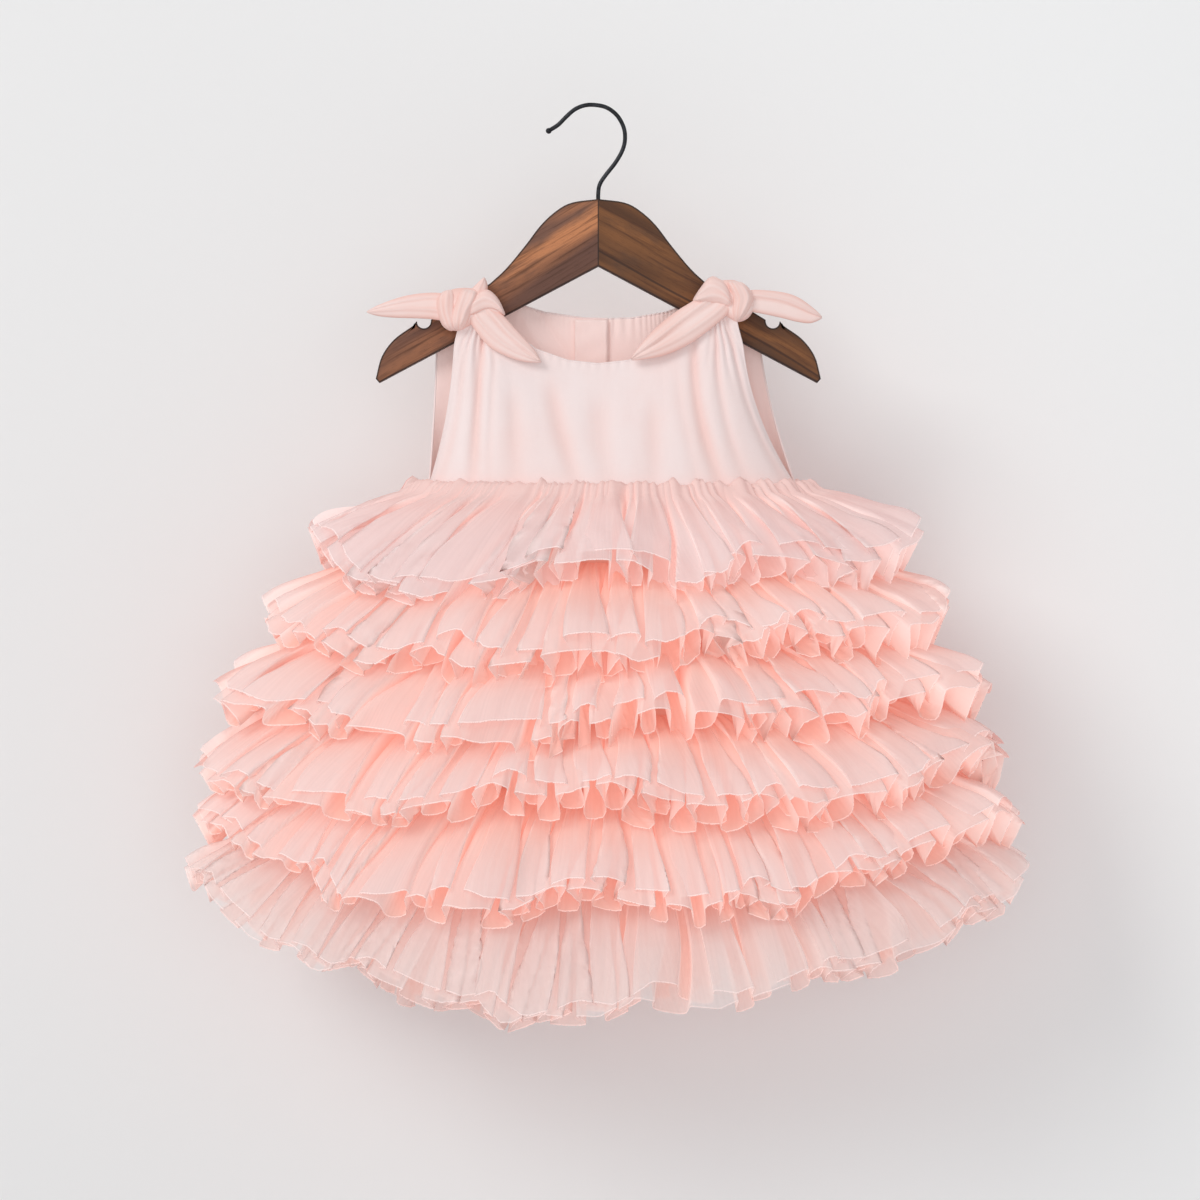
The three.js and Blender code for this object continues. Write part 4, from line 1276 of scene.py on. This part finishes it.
def lay_grain(bm, grain):
    """Maps the grain along each arm, in metres."""
    slope = math.atan(ARM_LEAN)
    for face in bm.faces:
        face.smooth = abs(face.normal.y) < LEVEL_FACE
        right = face.calc_center_median().x > MIDDLE_X * MM
        for loop in face.loops:
            x, y, z = loop.vert.co
            out = (x - MIDDLE_X * MM) * (1 if right else -1)
            along = out * math.cos(slope) - z * math.sin(slope)
            over = out * math.sin(slope) + z * math.cos(slope)
            deep = (y + HANGER_THICKNESS / 2 * MM) * SIDE_STEP
            loop[grain].uv = (along + (ARM_STEP if right else 0.0), over + deep)


def make_hanger(material):
    """Two arms from one outline, with rounded and darkened edges and grain that runs along each arm."""
    bm = bmesh.new()
    dark = bm.verts.layers.float.new("edge")
    grain = bm.loops.layers.uv.new("grain")
    inner = raise_hanger(bm)
    darken_rims(bm, dark, inner)
    lay_grain(bm, grain)
    mesh = bpy.data.meshes.new("hanger_arms")
    bm.to_mesh(mesh)
    bm.free()
    mesh.materials.append(material)
    collect("hanger_arms", mesh, ["hanger_wood"])


# Room, lights and camera

# The right of the wall is painted paler, to even out the key light, which is on the left
WALL_LEFT = (0.83, 0.83, 0.83)
WALL_RIGHT = (0.925, 0.93, 0.93)  # paler, because the key light is on the left
WALL_TURN = (-0.45, 0.4)  # where the wall turns paler, in metres
WALL_HALF_WIDTH = 6000
WALL_TOP = 1700
WALL_HEIGHT = 3200  # of its straight part, down to the bend
WALL_BEND = 600
WALL_LENGTH = 7000  # of wall, bend and floor together
WALL_DEPTH = 140  # behind the middle of the dress
SKY = (0.97, 0.98, 1.0)
SKY_STRENGTH = 0.56
LIGHT_AIM = (0.0, 0.0, -0.35)
# Each light: name, place in metres, width, power and colour
LIGHTS = [
    ("key", (-1.9, -2.3, 1.5), 1.5, 43, (1.0, 0.985, 0.965)),
    ("front", (0.2, -3.3, -0.15), 2.4, 17, (1.0, 1.0, 1.0)),
]
SEEN_THROUGH = 8  # how many layers of net a ray passes


def backdrop_points(u, v):
    """A wall that curves into a floor: u across it and v down the wall and along the floor."""
    length = v * WALL_LENGTH
    turn = np.clip((length - WALL_HEIGHT) / (WALL_BEND * math.pi / 2), 0, 1) * math.pi / 2
    floor = np.maximum(length - WALL_HEIGHT - WALL_BEND * math.pi / 2, 0)
    x = mix(WALL_HALF_WIDTH, -WALL_HALF_WIDTH, u)
    y = WALL_DEPTH - WALL_BEND * (1 - np.cos(turn)) - floor
    z = WALL_TOP - np.minimum(length, WALL_HEIGHT) - WALL_BEND * np.sin(turn)
    return np.stack([x, y, z], axis=-1), {}


def wall_material():
    """A pale matt wall, seen from its front only, painted paler towards its right to even out the key light.
    """
    material, tree, shader = new_material("pale_wall", 0.95, {"Specular IOR Level": 0.0})
    place = node(tree, "ShaderNodeSeparateXYZ", {0: object_place(tree)})
    across = between(tree, place.outputs["X"], *WALL_TURN)
    behind = node(tree, "ShaderNodeNewGeometry").outputs["Backfacing"]
    feed(tree, shader, {
        "Base Color": blend(tree, across, WALL_LEFT, WALL_RIGHT),
        "Alpha": minus(tree, 1.0, behind),
    })
    return material


def make_backdrop():
    mesh = grid_mesh("backdrop", 2, 120, backdrop_points)
    mesh.materials.append(wall_material())
    wall = bpy.data.objects.new("backdrop", mesh)
    bpy.context.scene.collection.objects.link(wall)


def add_area(name, place, size, power, colour):
    """A round soft light that points at the dress."""
    light = bpy.data.lights.new(name, "AREA")
    light.shape = "DISK"
    light.size = size
    light.energy = power
    light.color = colour
    lamp = bpy.data.objects.new(name, light)
    lamp.location = place
    lamp.rotation_euler = (Vector(LIGHT_AIM) - Vector(place)).to_track_quat("-Z", "Y").to_euler()
    bpy.context.scene.collection.objects.link(lamp)


def light_room():
    world = bpy.data.worlds.new("studio")
    world.use_nodes = True
    sky = world.node_tree.nodes["Background"]
    sky.inputs["Color"].default_value = (*SKY, 1)
    sky.inputs["Strength"].default_value = SKY_STRENGTH
    bpy.context.scene.world = world
    for row in LIGHTS:
        add_area(*row)


def aim_camera():
    """The photograph's view, from straight in front."""
    data = bpy.data.cameras.new("camera")
    data.sensor_width = SENSOR
    data.lens = SENSOR * CAMERA_DISTANCE / (PHOTO_WIDTH * PHOTO_SCALE * MM)
    data.clip_end = 50
    camera = bpy.data.objects.new("camera", data)
    x, z = photo_point(*PHOTO_CENTRE)
    camera.location = (x * MM, -CAMERA_DISTANCE, z * MM)
    camera.rotation_euler = (math.pi / 2, 0, 0)
    bpy.context.scene.collection.objects.link(camera)
    bpy.context.scene.camera = camera


def dress_part():
    weave = weave_group()
    net = net_group()
    cotton = cotton_material("bodice_cotton", weave, COTTON, COTTON_SHADE)
    # Pinker copies of the bodice cotton as painted shade; the back's glows more, as painted light on its
    # inside
    back_cotton = cotton_material("back_cotton", weave, SHADED_BACK_COTTON, COTTON_SHADE, painted_glow=0.13)
    shaded_tie_cotton = cotton_material("shaded_tie_cotton", weave, SHADED_TIE_COTTON, TIE_SHADE)
    lining = cotton_material("skirt_lining", weave, SALMON, LINING_SHADE, 0.1)
    for level in range(len(TIER_HEMS)):
        for layer in LAYERS:
            look = tulle_material(f"tulle_{level + 1}_{layer}", net, *tulle_look(level, layer))
            make_tier_layer(level, layer, look)
    make_lining(lining)
    make_bodice(cotton, back_cotton)
    make_edges(cotton)
    make_knots(shaded_tie_cotton)
    make_buttons(pearl_material())
    make_placket(back_cotton)
    make_hanger(wood_material())
    make_hook(wire_material())


dress_part()
make_backdrop()
light_room()
aim_camera()
scene = bpy.context.scene
scene.view_settings.view_transform = "Standard"
scene.cycles.transparent_max_bounces = SEEN_THROUGH
